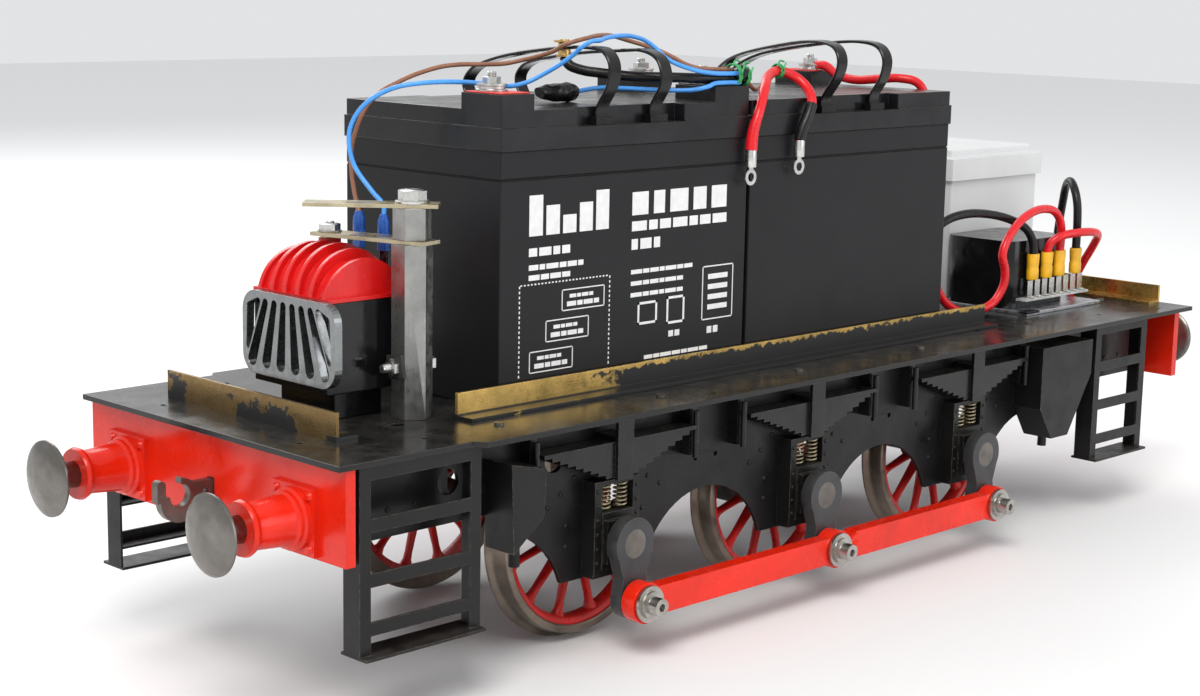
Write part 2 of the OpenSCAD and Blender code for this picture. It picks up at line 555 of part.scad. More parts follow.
// A flat strip through the post's middle line, from a mm before it to b mm past it
module strip(turn, a, b, z) translate([post_x, post_y, z]) rotate([0, 0, turn]) difference() {
    translate([-a, -8, 0]) cube([a + b, 16, strip_t]);
    translate([0, 0, -1]) cylinder(r = 3, h = strip_t + 2);
}
module post_strips() color("#b3a274") {
    difference() {
        strip(104, 12, 61, low_strip_z);
        translate([-303.1, 4.4, low_strip_z - 1]) cylinder(r = 3, h = strip_t + 2);
    }
    translate([-303.1, 4.4, 228.6]) cylinder(r = 5, h = low_strip_z - 228.6);
    strip(135, 14, 56, high_strip_z);
}
module post_fasteners() color("#a8a8a6") {
    translate([post_x, post_y, high_strip_z + strip_t]) cylinder(r = 9, h = 1.5);
    translate([post_x, post_y, high_strip_z + strip_t + 1.5]) cylinder(r = 7.5, h = 5.5, $fn = 6);
    translate([-303.1, 4.4, low_strip_z + strip_t]) cylinder(r = 6, h = 4, $fn = 6);
    translate([post_x, post_y, deck_top + 28]) {
        block([-12, -5.5, -5.5], [-9.6, 5.5, 5.5]);
        translate([-12, 0, 0]) rotate([0, -90, 0]) cylinder(r = 4.6, h = 3.4, $fn = 6);
        translate([-15.4, 0, 0]) rotate([0, -90, 0]) cylinder(r = 2.5, h = 5);
        translate([9.6, 0, 0]) rotate([0, 90, 0]) cylinder(r = 5, h = 3.5, $fn = 6);
    }
}
module spade_terminals() color("#2b6fb8") for (p = spade_places)
    translate(p) {
        block([-0.6, -3.4, -17], [0.6, 3.4, -12]);
        translate([0, 0, -12]) cylinder(r = 3.4, h = 12);
    }
// ---- Motor controller, tub and push button ----
module controller_base() color("#aab0b6")
    block([ctl_x, ctl_y - 11, deck_top], [ctl_x + 94, ctl_y + 64, deck_top + 2.5]);
module rounded_slab(w, l, r, h) linear_extrude(h) union() {
    translate([r, 0]) square([w - 2 * r, l]);
    translate([0, r]) square([w, l - 2 * r]);
    for (x = [r, w - r], y = [r, l - r]) translate([x, y]) circle(r = r);
}
module controller_cover() color("#18181a") translate([ctl_x + 1, ctl_y + 5, deck_top + 2.5]) rounded_slab(72, 58, 10, 48);
module controller_terminals() color("#c9cac6") {
    block([ctl_x + 8, ctl_y - 4, deck_top + 8.5], [ctl_x + 88, ctl_y + 4.9, deck_top + 10.1]);
    for (i = [0:7]) block([ctl_x + 15 + 9.1 * i, ctl_y - 0.5, deck_top + 10.1],
                          [ctl_x + 20 + 9.1 * i, ctl_y + 0.5, deck_top + 24]);
}
module crimp_sleeves() color("#f0a81e") for (x = sleeve_xs)
    translate([x, ctl_y, sleeve_z]) cylinder(r = 4.6, h = sleeve_h);
module tub() color("#f1f1f0") difference() {
    block([tub_x, 8, deck_top], [tub_x + 108, 94, deck_top + 92]);
    block([tub_x + 2, 10, deck_top + 2], [tub_x + 106, 92, deck_top + 93]);
}
module tub_lid() color("#f4f4f3") difference() {
    union() {
        block([tub_x - 3, 5, deck_top + 88], [tub_x + 111, 97, deck_top + 104]);
        block([tub_x + 4, 12, deck_top + 104], [tub_x + 104, 90, deck_top + 110]);
    }
    block([tub_x - 0.4, 7.6, deck_top + 87], [tub_x + 108.4, 94.4, deck_top + 92.2]);
}
module push_button() color("#b99a4d") translate(button_place) {
    cylinder(r = 4.6, h = 1.2);
    translate([0, 0, 1.2]) cylinder(r = 3.7, h = 7);
    translate([0, 0, 8.2]) cylinder(r = 6.2, h = 1.2);
    translate([0, 0, 9.4]) cylinder(r = 2.8, h = 0.6);
}

// ---- Wires and cables ----
// Smooth curve through a list of points, with k steps between neighbours
function blend(a, b, c, d, t) = 0.5 * (2 * b + (c - a) * t + (2 * a - 5 * b + 4 * c - d) * t * t
    + (3 * b - a - 3 * c + d) * t * t * t);
function route(p, k) = let (n = len(p) - 1) concat([for (i = [0:n - 1], j = [0:k - 1])
    blend(p[max(i - 1, 0)], p[i], p[i + 1], p[min(i + 2, n)], j / k)], [p[n]]);
function headings(q) = [for (i = [0:len(q) - 1]) unit(q[min(i + 1, len(q) - 1)] - q[max(i - 1, 0)])];
function side_vectors(t, i, u) = i == len(t) ? []
    : let (v = unit(u - t[i] * (u * t[i]))) concat([v], side_vectors(t, i + 1, v));
module tube(p, r, k = 2, sides = 8) {
    q = route(p, k);
    t = headings(q);
    u = side_vectors(t, 0, abs(t[0].z) < 0.9 ? [0, 0, 1] : [1, 0, 0]);
    rings = len(q);
    points = [for (i = [0:rings - 1], s = [0:sides - 1])
        q[i] + r * (cos(360 * s / sides) * u[i] + sin(360 * s / sides) * cross(t[i], u[i]))];
    walls = [for (i = [0:rings - 2], s = [0:sides - 1])
        [i * sides + s, i * sides + (s + 1) % sides, (i + 1) * sides + (s + 1) % sides, (i + 1) * sides + s]];
    ends = [[for (s = [sides - 1:-1:0]) s], [for (s = [0:sides - 1]) (rings - 1) * sides + s]];
    polyhedron(points, [for (f = concat(walls, ends)) [for (i = [len(f) - 1:-1:0]) f[i]]], convexity = 8);
}
module wire_blue() color("#4a90d9") {
    tube(blue_line, wire_r);
    tube(blue_joint_line, wire_r);
}
module wire_brown() color("#8a5a3a") {
    tube(brown_line, wire_r);
    tube(brown_tail_line, wire_r);
}
module wire_sheathed() color("#241f1c") tube(sheathed_line, 3);
module wire_tape() color("#151515") {
    translate([-160, -22, bat_top + lid_h]) block([-9, -5, 0.2], [9, 5, 8]);
    block([-54, -65, bat_top + lid_h + terminal_h + 0.3], [-45, -54, bat_top + lid_h + terminal_h + 11.4]);
}
module cables_red() color("#dc2430") {
    tube(red_loop_line, cable_r);
    tube(red_down_line, cable_r);
}
module cables_black() color("#1a1a1a") {
    tube(black_arch_line, cable_r);
    tube(black_up_line, cable_r);
}
module jumper_lead() color("#d8222c") tube(jumper_line, cable_r);
// A crimped ring terminal with its sleeve, hanging down from its origin
module ring_terminal() {
    translate([0, 0, -10]) cylinder(r = 3.4, h = 10);
    translate([0, 0.6, 0]) rotate([90, 0, 0]) linear_extrude(1.2) difference() {
        union() {
            translate([-1.8, -13]) square([3.6, 3]);
            translate([0, -16]) circle(r = 4.8);
        }
        translate([0, -16]) circle(r = 2.6);
    }
}
module ring_terminals() color("#c8ccd0") {
    translate(jumper_line[0]) ring_terminal();
    translate(jumper_line[len(jumper_line) - 1]) ring_terminal();
}

frame_plates();
horn_guides();
frame_stretchers();
front_beam();
rear_beam();
deck();
steps();
sandboxes();
leaf_springs();
brass_angles();
battery_cases();
battery_lids();
battery_terminals();
battery_handles();
buffer_stocks();
horn_body();
horn_grille();
horn_top();
spade_terminals();
post();
post_strips();
post_fasteners();
controller_base();
controller_cover();
controller_terminals();
crimp_sleeves();
tub();
tub_lid();
push_button();
wire_blue();
wire_brown();
wire_sheathed();
wire_tape();
cables_red();
cables_black();
jumper_lead();
ring_terminals();
axleboxes();
coil_springs();
drive_motor();
wheels(0);  // wheels_front
wheels(1);  // wheels_middle
wheels(2);  // wheels_rear
axle(0);  // axle_front
axle(1);  // axle_middle
axle(2);  // axle_rear
cranks(0);  // cranks_front
cranks(1);  // cranks_middle
cranks(2);  // cranks_rear
crankpins(0);  // crankpins_front
crankpins(1);  // crankpins_middle
crankpins(2);  // crankpins_rear
rods_near();
rods_far();
buffer_fr_near();
buffer_fr_far();
buffer_rr_near();
buffer_rr_far();
hook_front();
hook_rear();
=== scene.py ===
import math

import bmesh
import bpy
from mathutils import Matrix, Vector


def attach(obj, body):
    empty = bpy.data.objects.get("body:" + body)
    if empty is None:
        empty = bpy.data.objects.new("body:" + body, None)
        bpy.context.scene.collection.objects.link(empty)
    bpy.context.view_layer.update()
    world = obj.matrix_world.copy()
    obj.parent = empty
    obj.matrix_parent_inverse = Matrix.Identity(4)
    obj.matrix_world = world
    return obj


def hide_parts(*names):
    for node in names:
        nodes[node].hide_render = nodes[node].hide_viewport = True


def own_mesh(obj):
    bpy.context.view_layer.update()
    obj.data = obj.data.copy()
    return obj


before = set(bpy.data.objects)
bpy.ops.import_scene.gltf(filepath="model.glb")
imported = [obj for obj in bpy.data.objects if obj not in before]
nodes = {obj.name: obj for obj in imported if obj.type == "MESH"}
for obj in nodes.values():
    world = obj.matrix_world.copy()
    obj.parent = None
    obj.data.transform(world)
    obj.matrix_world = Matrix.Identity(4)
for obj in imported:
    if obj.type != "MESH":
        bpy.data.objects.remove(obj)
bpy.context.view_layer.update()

MM = 0.001  # every size below is in millimetres, and meshes are scaled once, when they are made


# ---- Placing and mesh tools ----
def place(at=(0, 0, 0), axis=(0, 0, 1), turn=0.0):
    """A matrix that puts local Z along axis and the local origin at a point."""
    rotation = Vector((0, 0, 1)).rotation_difference(Vector(axis)).to_matrix().to_4x4()
    return Matrix.Translation(at) @ rotation @ Matrix.Rotation(math.radians(turn), 4, "Z")


def mirror_y():
    return Matrix.Scale(-1, 4, (0, 1, 0))


def circle(radius, count, phase=0.0):
    return [
        (radius * math.cos(phase + 2 * math.pi * i / count),
         radius * math.sin(phase + 2 * math.pi * i / count))
        for i in range(count)
    ]


def smooth_path(points, steps=6):
    """Catmull-Rom line through the points, as the part's own wires follow."""
    p = [Vector(q) for q in points]
    last = len(p) - 1
    line = []
    for i in range(last):
        a, b, c, d = p[max(i - 1, 0)], p[i], p[i + 1], p[min(i + 2, last)]
        for j in range(steps):
            t = j / steps
            line.append(
                0.5 * (2 * b + (c - a) * t + (2 * a - 5 * b + 4 * c - d) * t**2
                       + (3 * b - a - 3 * c + d) * t**3)
            )
    return line + [p[last]]


class Shape:
    """Collects closed solids, each laid down under the current matrix."""

    def __init__(self):
        self.bm = bmesh.new()
        self.m = Matrix.Identity(4)

    def at(self, matrix):
        self.m = matrix
        return self

    def solid(self, verts, faces):
        made = [self.bm.verts.new(self.m @ Vector(v)) for v in verts]
        for f in faces:
            self.bm.faces.new([made[i] for i in f])

    def rings(self, rings, closed=False, capped=True):
        """Skins a list of equal rings of points."""
        n, count = len(rings[0]), len(rings)
        verts = [v for ring in rings for v in ring]
        faces = []
        for i in range(count if closed else count - 1):
            a, b = i * n, (i + 1) % count * n
            faces += [(a + j, a + (j + 1) % n, b + (j + 1) % n, b + j) for j in range(n)]
        if capped and not closed:
            faces += [tuple(range(n)), tuple((count - 1) * n + j for j in range(n))]
        self.solid(verts, faces)

    def box(self, lo, hi):
        (a, b, c), (d, e, f) = lo, hi
        self.rings([[(a, b, z), (d, b, z), (d, e, z), (a, e, z)] for z in (c, f)])

    def prism(self, outline, z0, z1):
        self.rings([[(x, y, z) for x, y in outline] for z in (z0, z1)])

    def lathe(self, profile, count=48, closed=False):
        """Turns (radius, height) points about local Z."""
        turned = [[(r * c, r * s, h) for c, s in circle(1, count)] for r, h in profile]
        self.rings(turned, closed=closed)

    def tube(self, line, radius, sides=12, closed=False, flat=1.0):
        """Sweeps a circle, or an ellipse if flat isn't 1, along a line of points."""
        line = [Vector(p) for p in line]
        n = len(line)
        heads = []
        for i in range(n):
            a, b = (line[i - 1], line[(i + 1) % n]) if closed else (line[max(i - 1, 0)],
                                                                    line[min(i + 1, n - 1)])
            heads.append((b - a).normalized())
        side = heads[0].orthogonal().normalized()
        rings = []
        for i in range(n):
            side = (side - heads[i] * side.dot(heads[i])).normalized()
            other = heads[i].cross(side)
            r = radius(i / (n - 1)) if callable(radius) else radius
            rings.append([line[i] + r * (c * side + flat * s * other) for c, s in circle(1, sides)])
        self.rings(rings, closed=closed)

    def ribbon(self, line, across, width, thick):
        """Sweeps a flat strap along a line; across is its width's direction."""
        line = [Vector(p) for p in line]
        across = Vector(across).normalized()
        rings = []
        for i, p in enumerate(line):
            head = (line[min(i + 1, len(line) - 1)] - line[max(i - 1, 0)]).normalized()
            up = head.cross(across).normalized()
            w, t = width / 2, thick / 2
            rings.append(
                [p + a * across + b * up for a,
                 b in ((-w, -t * 0.5), (-w * 0.9, -t), (w * 0.9, -t), (w, -t * 0.5),
                                                      (w, t * 0.5), (w * 0.9, t), (-w * 0.9, t), (-w,
                                                                                                  t * 0.5))]
            )
        self.rings(rings)

    def hex(self, r, z0, z1, chamfer=0.0):
        """Hexagonal bar or bolt head, with its end corners turned away."""
        corner = circle(r, 6)
        inner = circle(r - chamfer, 6)
        levels = [(corner, z0), (corner, z1 - chamfer * 0.6), (inner, z1)] if chamfer else [(corner, z0),
                                                                                            (corner, z1)]
        self.rings([[(x, y, z) for x, y in ring] for ring, z in levels])

    def thread(self, r, z0, z1, pitch=1.0, count=24):
        turns = int((z1 - z0) / pitch)
        profile = []
        for i in range(turns):
            profile += [(r, z0 + (i + 0.1) * pitch), (r, z0 + (i + 0.4) * pitch),
                        (r * 0.86, z0 + (i + 0.75) * pitch)]
        self.lathe([(r * 0.86, z0)] + profile + [(r * 0.8, z1)], count)


def link(ob):
    bpy.context.scene.collection.objects.link(ob)
    return ob


def piece(name, shape, material, body="chassis", replaces=(), bevel=0.0, sharp=38):
    """Turns a Shape into an object that rides on a body."""
    bmesh.ops.recalc_face_normals(shape.bm, faces=shape.bm.faces)
    mesh = bpy.data.meshes.new(name)
    shape.bm.to_mesh(mesh)
    shape.bm.free()
    mesh.transform(Matrix.Scale(MM, 4))
    mesh.materials.append(material)
    mesh.shade_smooth()
    mesh.set_sharp_from_angle(angle=math.radians(sharp))
    ob = link(bpy.data.objects.new(name, mesh))
    if bevel:
        soften(ob, bevel)
    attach(ob, body)
    if replaces:
        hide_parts(*replaces)
    return ob


def soften(ob, width, segments=2):
    edges = ob.modifiers.new("Edges", "BEVEL")
    edges.width = width * MM
    edges.segments = segments
    edges.limit_method = "ANGLE"
    edges.angle_limit = math.radians(40)
    edges.use_clamp_overlap = True


# ---- Materials ----
class Nodes:
    """A small wrapper for building one shader."""

    def __init__(self, name):
        self.material = bpy.data.materials.new(name)
        self.material.use_nodes = True
        self.tree = self.material.node_tree
        self.bsdf = self.tree.nodes["Principled BSDF"]
        self.coord = self.add("ShaderNodeTexCoord").outputs["Object"]

    def add(self, kind, **settings):
        node = self.tree.nodes.new(kind)
        for key, value in settings.items():
            setattr(node, key, value)
        return node

    def feed(self, socket, value):
        if isinstance(value, bpy.types.NodeSocket):
            self.tree.links.new(value, socket)
        else:
            socket.default_value = value

    def noise(self, scale, detail=4.0, rough=0.55, stretch=None, seed=0.0, distortion=0.0):
        vector = self.coord
        if stretch or seed:
            mapping = self.add("ShaderNodeMapping")
            self.feed(mapping.inputs["Vector"], vector)
            mapping.inputs["Location"].default_value = (seed, seed * 0.7, seed * 1.3)
            mapping.inputs["Scale"].default_value = stretch or (1, 1, 1)
            vector = mapping.outputs["Vector"]
        node = self.add("ShaderNodeTexNoise")
        self.feed(node.inputs["Vector"], vector)
        for key, value in (("Scale", scale), ("Detail", detail), ("Roughness", rough),
                           ("Distortion", distortion)):
            node.inputs[key].default_value = value
        return node.outputs["Fac"]

    def ramp(self, value, low, high, out=(0.0, 1.0)):
        node = self.add("ShaderNodeMapRange", clamp=True)
        self.feed(node.inputs["Value"], value)
        for key, number in (("From Min", low), ("From Max", high), ("To Min", out[0]), ("To Max", out[1])):
            node.inputs[key].default_value = number
        return node.outputs["Result"]

    def math(self, kind, a, b=0.0):
        node = self.add("ShaderNodeMath", operation=kind)
        self.feed(node.inputs[0], a)
        self.feed(node.inputs[1], b)
        return node.outputs[0]

    def mix(self, factor, a, b, kind="MIX"):
        node = self.add("ShaderNodeMix", data_type="RGBA", blend_type=kind)
        self.feed(node.inputs["Factor"], factor)
        self.feed(node.inputs["A"], a)
        self.feed(node.inputs["B"], b)
        return node.outputs["Result"]

    def blend(self, factor, a, b):
        node = self.add("ShaderNodeMix", data_type="FLOAT")
        self.feed(node.inputs["Factor"], factor)
        self.feed(node.inputs["A"], a)
        self.feed(node.inputs["B"], b)
        return node.outputs["Result"]

    def edges(self, radius):
        """1 near sharp edges, 0 on flat faces."""
        bevel = self.add("ShaderNodeBevel", samples=4)
        bevel.inputs["Radius"].default_value = radius * MM
        geometry = self.add("ShaderNodeNewGeometry")
        dot = self.add("ShaderNodeVectorMath", operation="DOT_PRODUCT")
        self.feed(dot.inputs[0], bevel.outputs["Normal"])
        self.feed(dot.inputs[1], geometry.outputs["Normal"])
        return self.ramp(dot.outputs["Value"], 0.995, 0.8)

    def facing_up(self):
        geometry = self.add("ShaderNodeNewGeometry")
        split = self.add("ShaderNodeSeparateXYZ")
        self.feed(split.inputs[0], geometry.outputs["Normal"])
        return split.outputs["Z"]

    def bump(self, height, distance, strength=1.0, after=None):
        node = self.add("ShaderNodeBump")
        self.feed(node.inputs["Height"], height)
        node.inputs["Distance"].default_value = distance * MM
        node.inputs["Strength"].default_value = strength
        if after is not None:
            self.feed(node.inputs["Normal"], after)
        return node.outputs["Normal"]


def rgb(r, g, b):
    return (r, g, b, 1.0)


def worn_shader(
    name, colour, rough, metal=0.0, mottle=(60, 0.25), grain=(900, 0.02), rough_change=0.12, dust=0.0,
    dust_colour=(0.3, 0.27, 0.23), wear=None, chips=None, brush=None, coat=0.0, specular=0.5, seed=0.0,
):
    """One worn, real surface. wear is (colour, edge radius, amount); chips is (colour, scale, threshold);
    brush is the direction of fine scratches as a stretch of the noise."""
    n = Nodes(name)
    patch = n.noise(mottle[0], 5, 0.6, seed=seed)
    tint = n.ramp(patch, 0.3, 0.7, (1 - mottle[1], 1 + mottle[1] * 0.6))
    tone = n.add("ShaderNodeCombineColor")
    for key in ("Red", "Green", "Blue"):
        n.feed(tone.inputs[key], tint)
    base = n.mix(1.0, rgb(*colour), tone.outputs["Color"], "MULTIPLY")
    shine = n.ramp(n.noise(mottle[0] * 2.3, 4, 0.6, seed=seed + 3), 0.3, 0.7,
                   (rough - rough_change, rough + rough_change))
    if chips:
        spots = n.ramp(n.noise(chips[1], 6, 0.65, seed=seed + 5), chips[2], chips[2] + 0.03)
        base = n.mix(spots, base, rgb(*chips[0]))
        shine = n.blend(spots, shine, 0.6)
    if wear:
        ragged = n.ramp(n.noise(260, 5, 0.7, seed=seed + 7), 0.42, 0.6)
        rubbed = n.math("MULTIPLY", n.math("MULTIPLY", n.edges(wear[1]), ragged), wear[2])
        base = n.mix(rubbed, base, rgb(*wear[0]))
        shine = n.blend(rubbed, shine, 0.42)
    if dust:
        settled = n.math("MULTIPLY", n.ramp(n.facing_up(), 0.1, 0.9),
                         n.ramp(n.noise(90, 6, 0.7, seed=seed + 9), 0.35, 0.75))
        settled = n.math("MULTIPLY", settled, dust)
        base = n.mix(settled, base, rgb(*dust_colour))
        shine = n.blend(settled, shine, 0.8)
    normal = n.bump(n.noise(grain[0], 3, 0.6, seed=seed + 11), grain[1], 0.6)
    if brush:
        lines = n.noise(1.0, 3, 0.6, stretch=brush, seed=seed + 13)
        normal = n.bump(lines, 0.02, 0.5, after=normal)
        shine = n.math("ADD", shine, n.ramp(lines, 0.3, 0.7, (-0.08, 0.1)))
    b = n.bsdf.inputs
    b["Base Color"].default_value = rgb(*colour)
    b["Roughness"].default_value = rough
    b["Metallic"].default_value = metal
    b["Specular IOR Level"].default_value = specular
    b["Coat Weight"].default_value = coat
    b["Coat Roughness"].default_value = 0.12
    n.feed(b["Base Color"], base)
    n.feed(b["Roughness"], shine)
    n.feed(b["Normal"], normal)
    return n


def surface(*args, **settings):
    return worn_shader(*args, **settings).material


def painted_brass():
    """Tarnished brass angle, brushed over in black along the near side and blotched at the front."""
    n = worn_shader("aged_brass", (0.68, 0.45, 0.14), 0.28, metal=0.95, mottle=(45, 0.4), grain=(500, 0.04),
                    rough_change=0.12, brush=(30, 900, 900), seed=48)
    split = n.add("ShaderNodeSeparateXYZ")
    n.feed(split.inputs[0], n.coord)
    x, y, z = split.outputs
    ragged = n.math("MULTIPLY", n.math("SUBTRACT", n.noise(38, 6, 0.7, seed=5), 0.5), 0.16)
    along = n.ramp(n.math("ADD", x, ragged), -0.172, -0.162)
    near = n.ramp(y, -0.06, -0.064)
    chipped = n.ramp(n.math("ADD", z,
                            n.math("MULTIPLY", n.math("SUBTRACT", n.noise(150, 5, 0.7, seed=9), 0.5), 0.012)),
                     0.1506, 0.1498)
    flange = n.math("MULTIPLY", n.ramp(z, 0.1412, 0.1404), n.ramp(n.noise(60, 5, 0.7, seed=15), 0.34, 0.4))
    side = n.math("MULTIPLY", near, n.math("MAXIMUM", n.math("MULTIPLY", along, chipped), flange))
    side = n.math("MULTIPLY", side, n.ramp(x, 0.31, 0.3))
    drift = n.math("MULTIPLY", n.math("SUBTRACT", n.noise(55, 4, 0.65, seed=21), 0.5), 0.05)
    lift = n.math("MULTIPLY", n.math("SUBTRACT", n.noise(70, 5, 0.7, seed=25), 0.5), 0.03)

    def blotch(middle, half, top):
        wide = n.ramp(n.math("ABSOLUTE", n.math("SUBTRACT", n.math("ADD", y, drift), middle)), half,
                      half - 0.002)
        return n.math("MULTIPLY", wide, n.ramp(n.math("ADD", z, lift), top, top - 0.0008))

    at_front = n.ramp(x, -0.32, -0.33)
    blots = n.math("MAXIMUM", blotch(0.072, 0.012, 0.151), blotch(-0.012, 0.03, 0.147))
    paint = n.math("MAXIMUM", side, n.math("MULTIPLY", at_front, blots))
    b = n.bsdf.inputs
    n.feed(b["Base Color"], n.mix(at_front, b["Base Color"].links[0].from_socket, rgb(0.26, 0.17, 0.07)))
    for key, value in (("Base Color", rgb(0.009, 0.009, 0.009)), ("Roughness", 0.32), ("Metallic", 0.0)):
        old = b[key].links[0].from_socket if b[key].links else b[key].default_value
        n.feed(b[key], (n.mix if key == "Base Color" else n.blend)(paint, old, value))
    return n.material


def make_materials():
    bare = (0.32, 0.3, 0.27)
    return {
        "frame": surface("frame_black", (0.007, 0.007, 0.0075), 0.34, specular=0.26, dust=0.16,
                         wear=(bare, 0.5, 0.4), mottle=(25, 0.35)),
        "deck": surface("deck_black", (0.006, 0.006, 0.0065), 0.2, specular=0.34, mottle=(14, 0.35),
                        grain=(300, 0.03), dust=0.12,
                        wear=((0.2, 0.18, 0.15), 0.5, 0.45), rough_change=0.08),
        "worn_black": surface("worn_black", (0.008, 0.008, 0.008), 0.38, specular=0.26, dust=0.16,
                              wear=((0.28, 0.23, 0.17), 0.6, 0.6),
                              mottle=(30, 0.35)),
        "springs": surface("leaf_black", (0.009, 0.009, 0.0095), 0.32, specular=0.36, dust=0.3,
                           wear=(bare, 0.35, 0.55), mottle=(40, 0.4)),
        "red": surface("red_paint", (0.66, 0.015, 0.003), 0.24, specular=0.3, mottle=(30, 0.16),
                       grain=(450, 0.02),
                       wear=((0.1, 0.07, 0.06), 0.5, 0.7), chips=((0.06, 0.05, 0.045), 55, 0.74), coat=0.12),
        "rod_red": surface("rod_red", (0.74, 0.018, 0.004), 0.26, specular=0.3, mottle=(30, 0.18),
                           grain=(450, 0.02),
                           wear=((0.12, 0.09, 0.08), 0.4, 0.6), coat=0.12, seed=4),
        "wheel_red": surface("wheel_red", (0.5, 0.008, 0.006), 0.34, specular=0.3, mottle=(40, 0.3),
                             grain=(500, 0.05), coat=0.1,
                             dust=0.12, seed=8),
        "tyre": surface("tyre_steel", (0.2, 0.165, 0.135), 0.38, metal=0.9, mottle=(60, 0.35),
                        grain=(700, 0.03), seed=12),
        "crank": surface("crank_iron", (0.03, 0.031, 0.034), 0.44, mottle=(50, 0.3), grain=(550, 0.12),
                         dust=0.1,
                         wear=((0.25, 0.24, 0.22), 0.5, 0.5), seed=16),
        "steel": surface("turned_steel", (0.46, 0.44, 0.41), 0.3, metal=1.0, mottle=(90, 0.28),
                         grain=(900, 0.02),
                         rough_change=0.1, seed=20),
        "head_steel": surface("buffer_steel", (0.2, 0.188, 0.172), 0.32, metal=1.0, mottle=(45, 0.3),
                              grain=(700, 0.03),
                              rough_change=0.12, chips=((0.16, 0.13, 0.1), 70, 0.72), seed=24),
        "dark_steel": surface("dark_steel", (0.17, 0.155, 0.14), 0.42, metal=0.85, mottle=(70, 0.35),
                              grain=(600, 0.05), seed=28),
        "plated": surface("plated_steel", (0.6, 0.6, 0.58), 0.28, metal=1.0, mottle=(120, 0.15), seed=32),
        "zinc": surface("yellow_zinc", (0.5, 0.44, 0.3), 0.34, metal=0.95, mottle=(60, 0.3),
                        grain=(800, 0.03), seed=36),
        "post": surface("post_steel", (0.32, 0.32, 0.31), 0.36, metal=0.92, mottle=(70, 0.22),
                        brush=(900, 900, 30), seed=40),
        "spring": surface("spring_wire", (0.36, 0.31, 0.2), 0.4, metal=0.85, mottle=(120, 0.3), seed=44),
        "brass": painted_brass(),
        "jack": surface("jack_brass", (0.62, 0.4, 0.14), 0.25, metal=1.0, mottle=(90, 0.3), grain=(800, 0.02),
                        seed=50),
        "case": surface("battery_case", (0.008, 0.0082, 0.0094), 0.42, specular=0.24, mottle=(18, 0.18),
                        grain=(1500, 0.03), dust=0.06,
                        rough_change=0.06, seed=52),
        "lid": surface("battery_lid", (0.008, 0.0082, 0.0094), 0.24, specular=0.34, mottle=(20, 0.2),
                       grain=(1300, 0.03), dust=0.12, seed=56),
        "strap": surface("strap_plastic", (0.006, 0.006, 0.007), 0.24, specular=0.3, mottle=(50, 0.25),
                         grain=(900, 0.02), dust=0.05, seed=60),
        "horn_black": surface("horn_black", (0.006, 0.006, 0.007), 0.16, specular=0.38, mottle=(50, 0.2),
                              dust=0.05, seed=64),
        "silver": surface("silver_plastic", (0.25, 0.258, 0.262), 0.26, metal=0.95, mottle=(80, 0.16),
                          grain=(900, 0.02), seed=68),
        "dome_red": surface("dome_red", (0.62, 0.008, 0.008), 0.3, specular=0.35, mottle=(50, 0.15),
                            grain=(900, 0.01), coat=0.15, seed=72),
        "blue_cap": surface("blue_sleeve", (0.01, 0.08, 0.36), 0.3, mottle=(200, 0.15), seed=76),
        "yellow_cap": surface("yellow_sleeve", (0.85, 0.45, 0.01), 0.34, mottle=(200, 0.15), seed=80),
        "aluminium": surface("bare_aluminium", (0.66, 0.68, 0.72), 0.34, metal=1.0, mottle=(60, 0.16),
                             brush=(20, 900, 900), seed=84),
        "white": surface("white_plastic", (0.62, 0.63, 0.635), 0.42, mottle=(30, 0.04), grain=(400, 0.03),
                         seed=88),
        "blue_wire": surface("blue_wire", (0.06, 0.3, 0.78), 0.36, mottle=(150, 0.12), seed=92),
        "brown_wire": surface("brown_wire", (0.26, 0.11, 0.06), 0.4, mottle=(150, 0.2), seed=96),
        "black_wire": surface("black_cable", (0.008, 0.0075, 0.0075), 0.32, specular=0.3, mottle=(150, 0.25),
                              seed=100),
        "red_wire": surface("red_cable", (0.66, 0.008, 0.014), 0.3, specular=0.38, mottle=(150, 0.12),
                            coat=0.1, seed=104),
        "tape": surface("black_tape", (0.006, 0.006, 0.006), 0.26, specular=0.36, mottle=(80, 0.3),
                        grain=(160, 0.3), seed=108),
        "green_tie": surface("green_tie", (0.02, 0.3, 0.08), 0.4, mottle=(150, 0.2), seed=112),
        "board": surface("terminal_strip", (0.5, 0.51, 0.5), 0.4, mottle=(150, 0.3), seed=116),
        "print": surface("white_print", (0.72, 0.72, 0.72), 0.5, mottle=(200, 0.1), grain=(1500, 0.01),
                         seed=120),
        "red_pad": surface("red_pad", (0.65, 0.03, 0.02), 0.45, mottle=(100, 0.2), seed=124),
        "rubber": surface("rubber", (0.02, 0.02, 0.02), 0.6, mottle=(100, 0.2), grain=(900, 0.06), seed=128),
        "motor": surface("motor_paint", (0.03, 0.03, 0.032), 0.45, mottle=(60, 0.3), dust=0.3, seed=132),
    }


M = make_materials()


# ---- Camera ----
def make_camera():
    azimuth, elevation, roll = (math.radians(a) for a in (-45.16, 10.2, 1.065))
    back = Vector((math.sin(azimuth) * math.cos(elevation), -math.cos(azimuth) * math.cos(elevation),
                   math.sin(elevation)))
    right = Vector((math.cos(azimuth), math.sin(azimuth), 0))
    up = back.cross(right)
    tilted_right = right * math.cos(roll) + up * math.sin(roll)
    tilted_up = up * math.cos(roll) - right * math.sin(roll)
    data = bpy.data.cameras.new("Camera")
    data.sensor_width = 36
    data.lens = 63.12
    camera = link(bpy.data.objects.new("Camera", data))
    turn = Matrix((tilted_right, tilted_up, back)).transposed().to_4x4()
    camera.matrix_world = Matrix.Translation((-0.9886, -0.8814, 0.3715)) @ turn
    bpy.context.scene.camera = camera


make_camera()


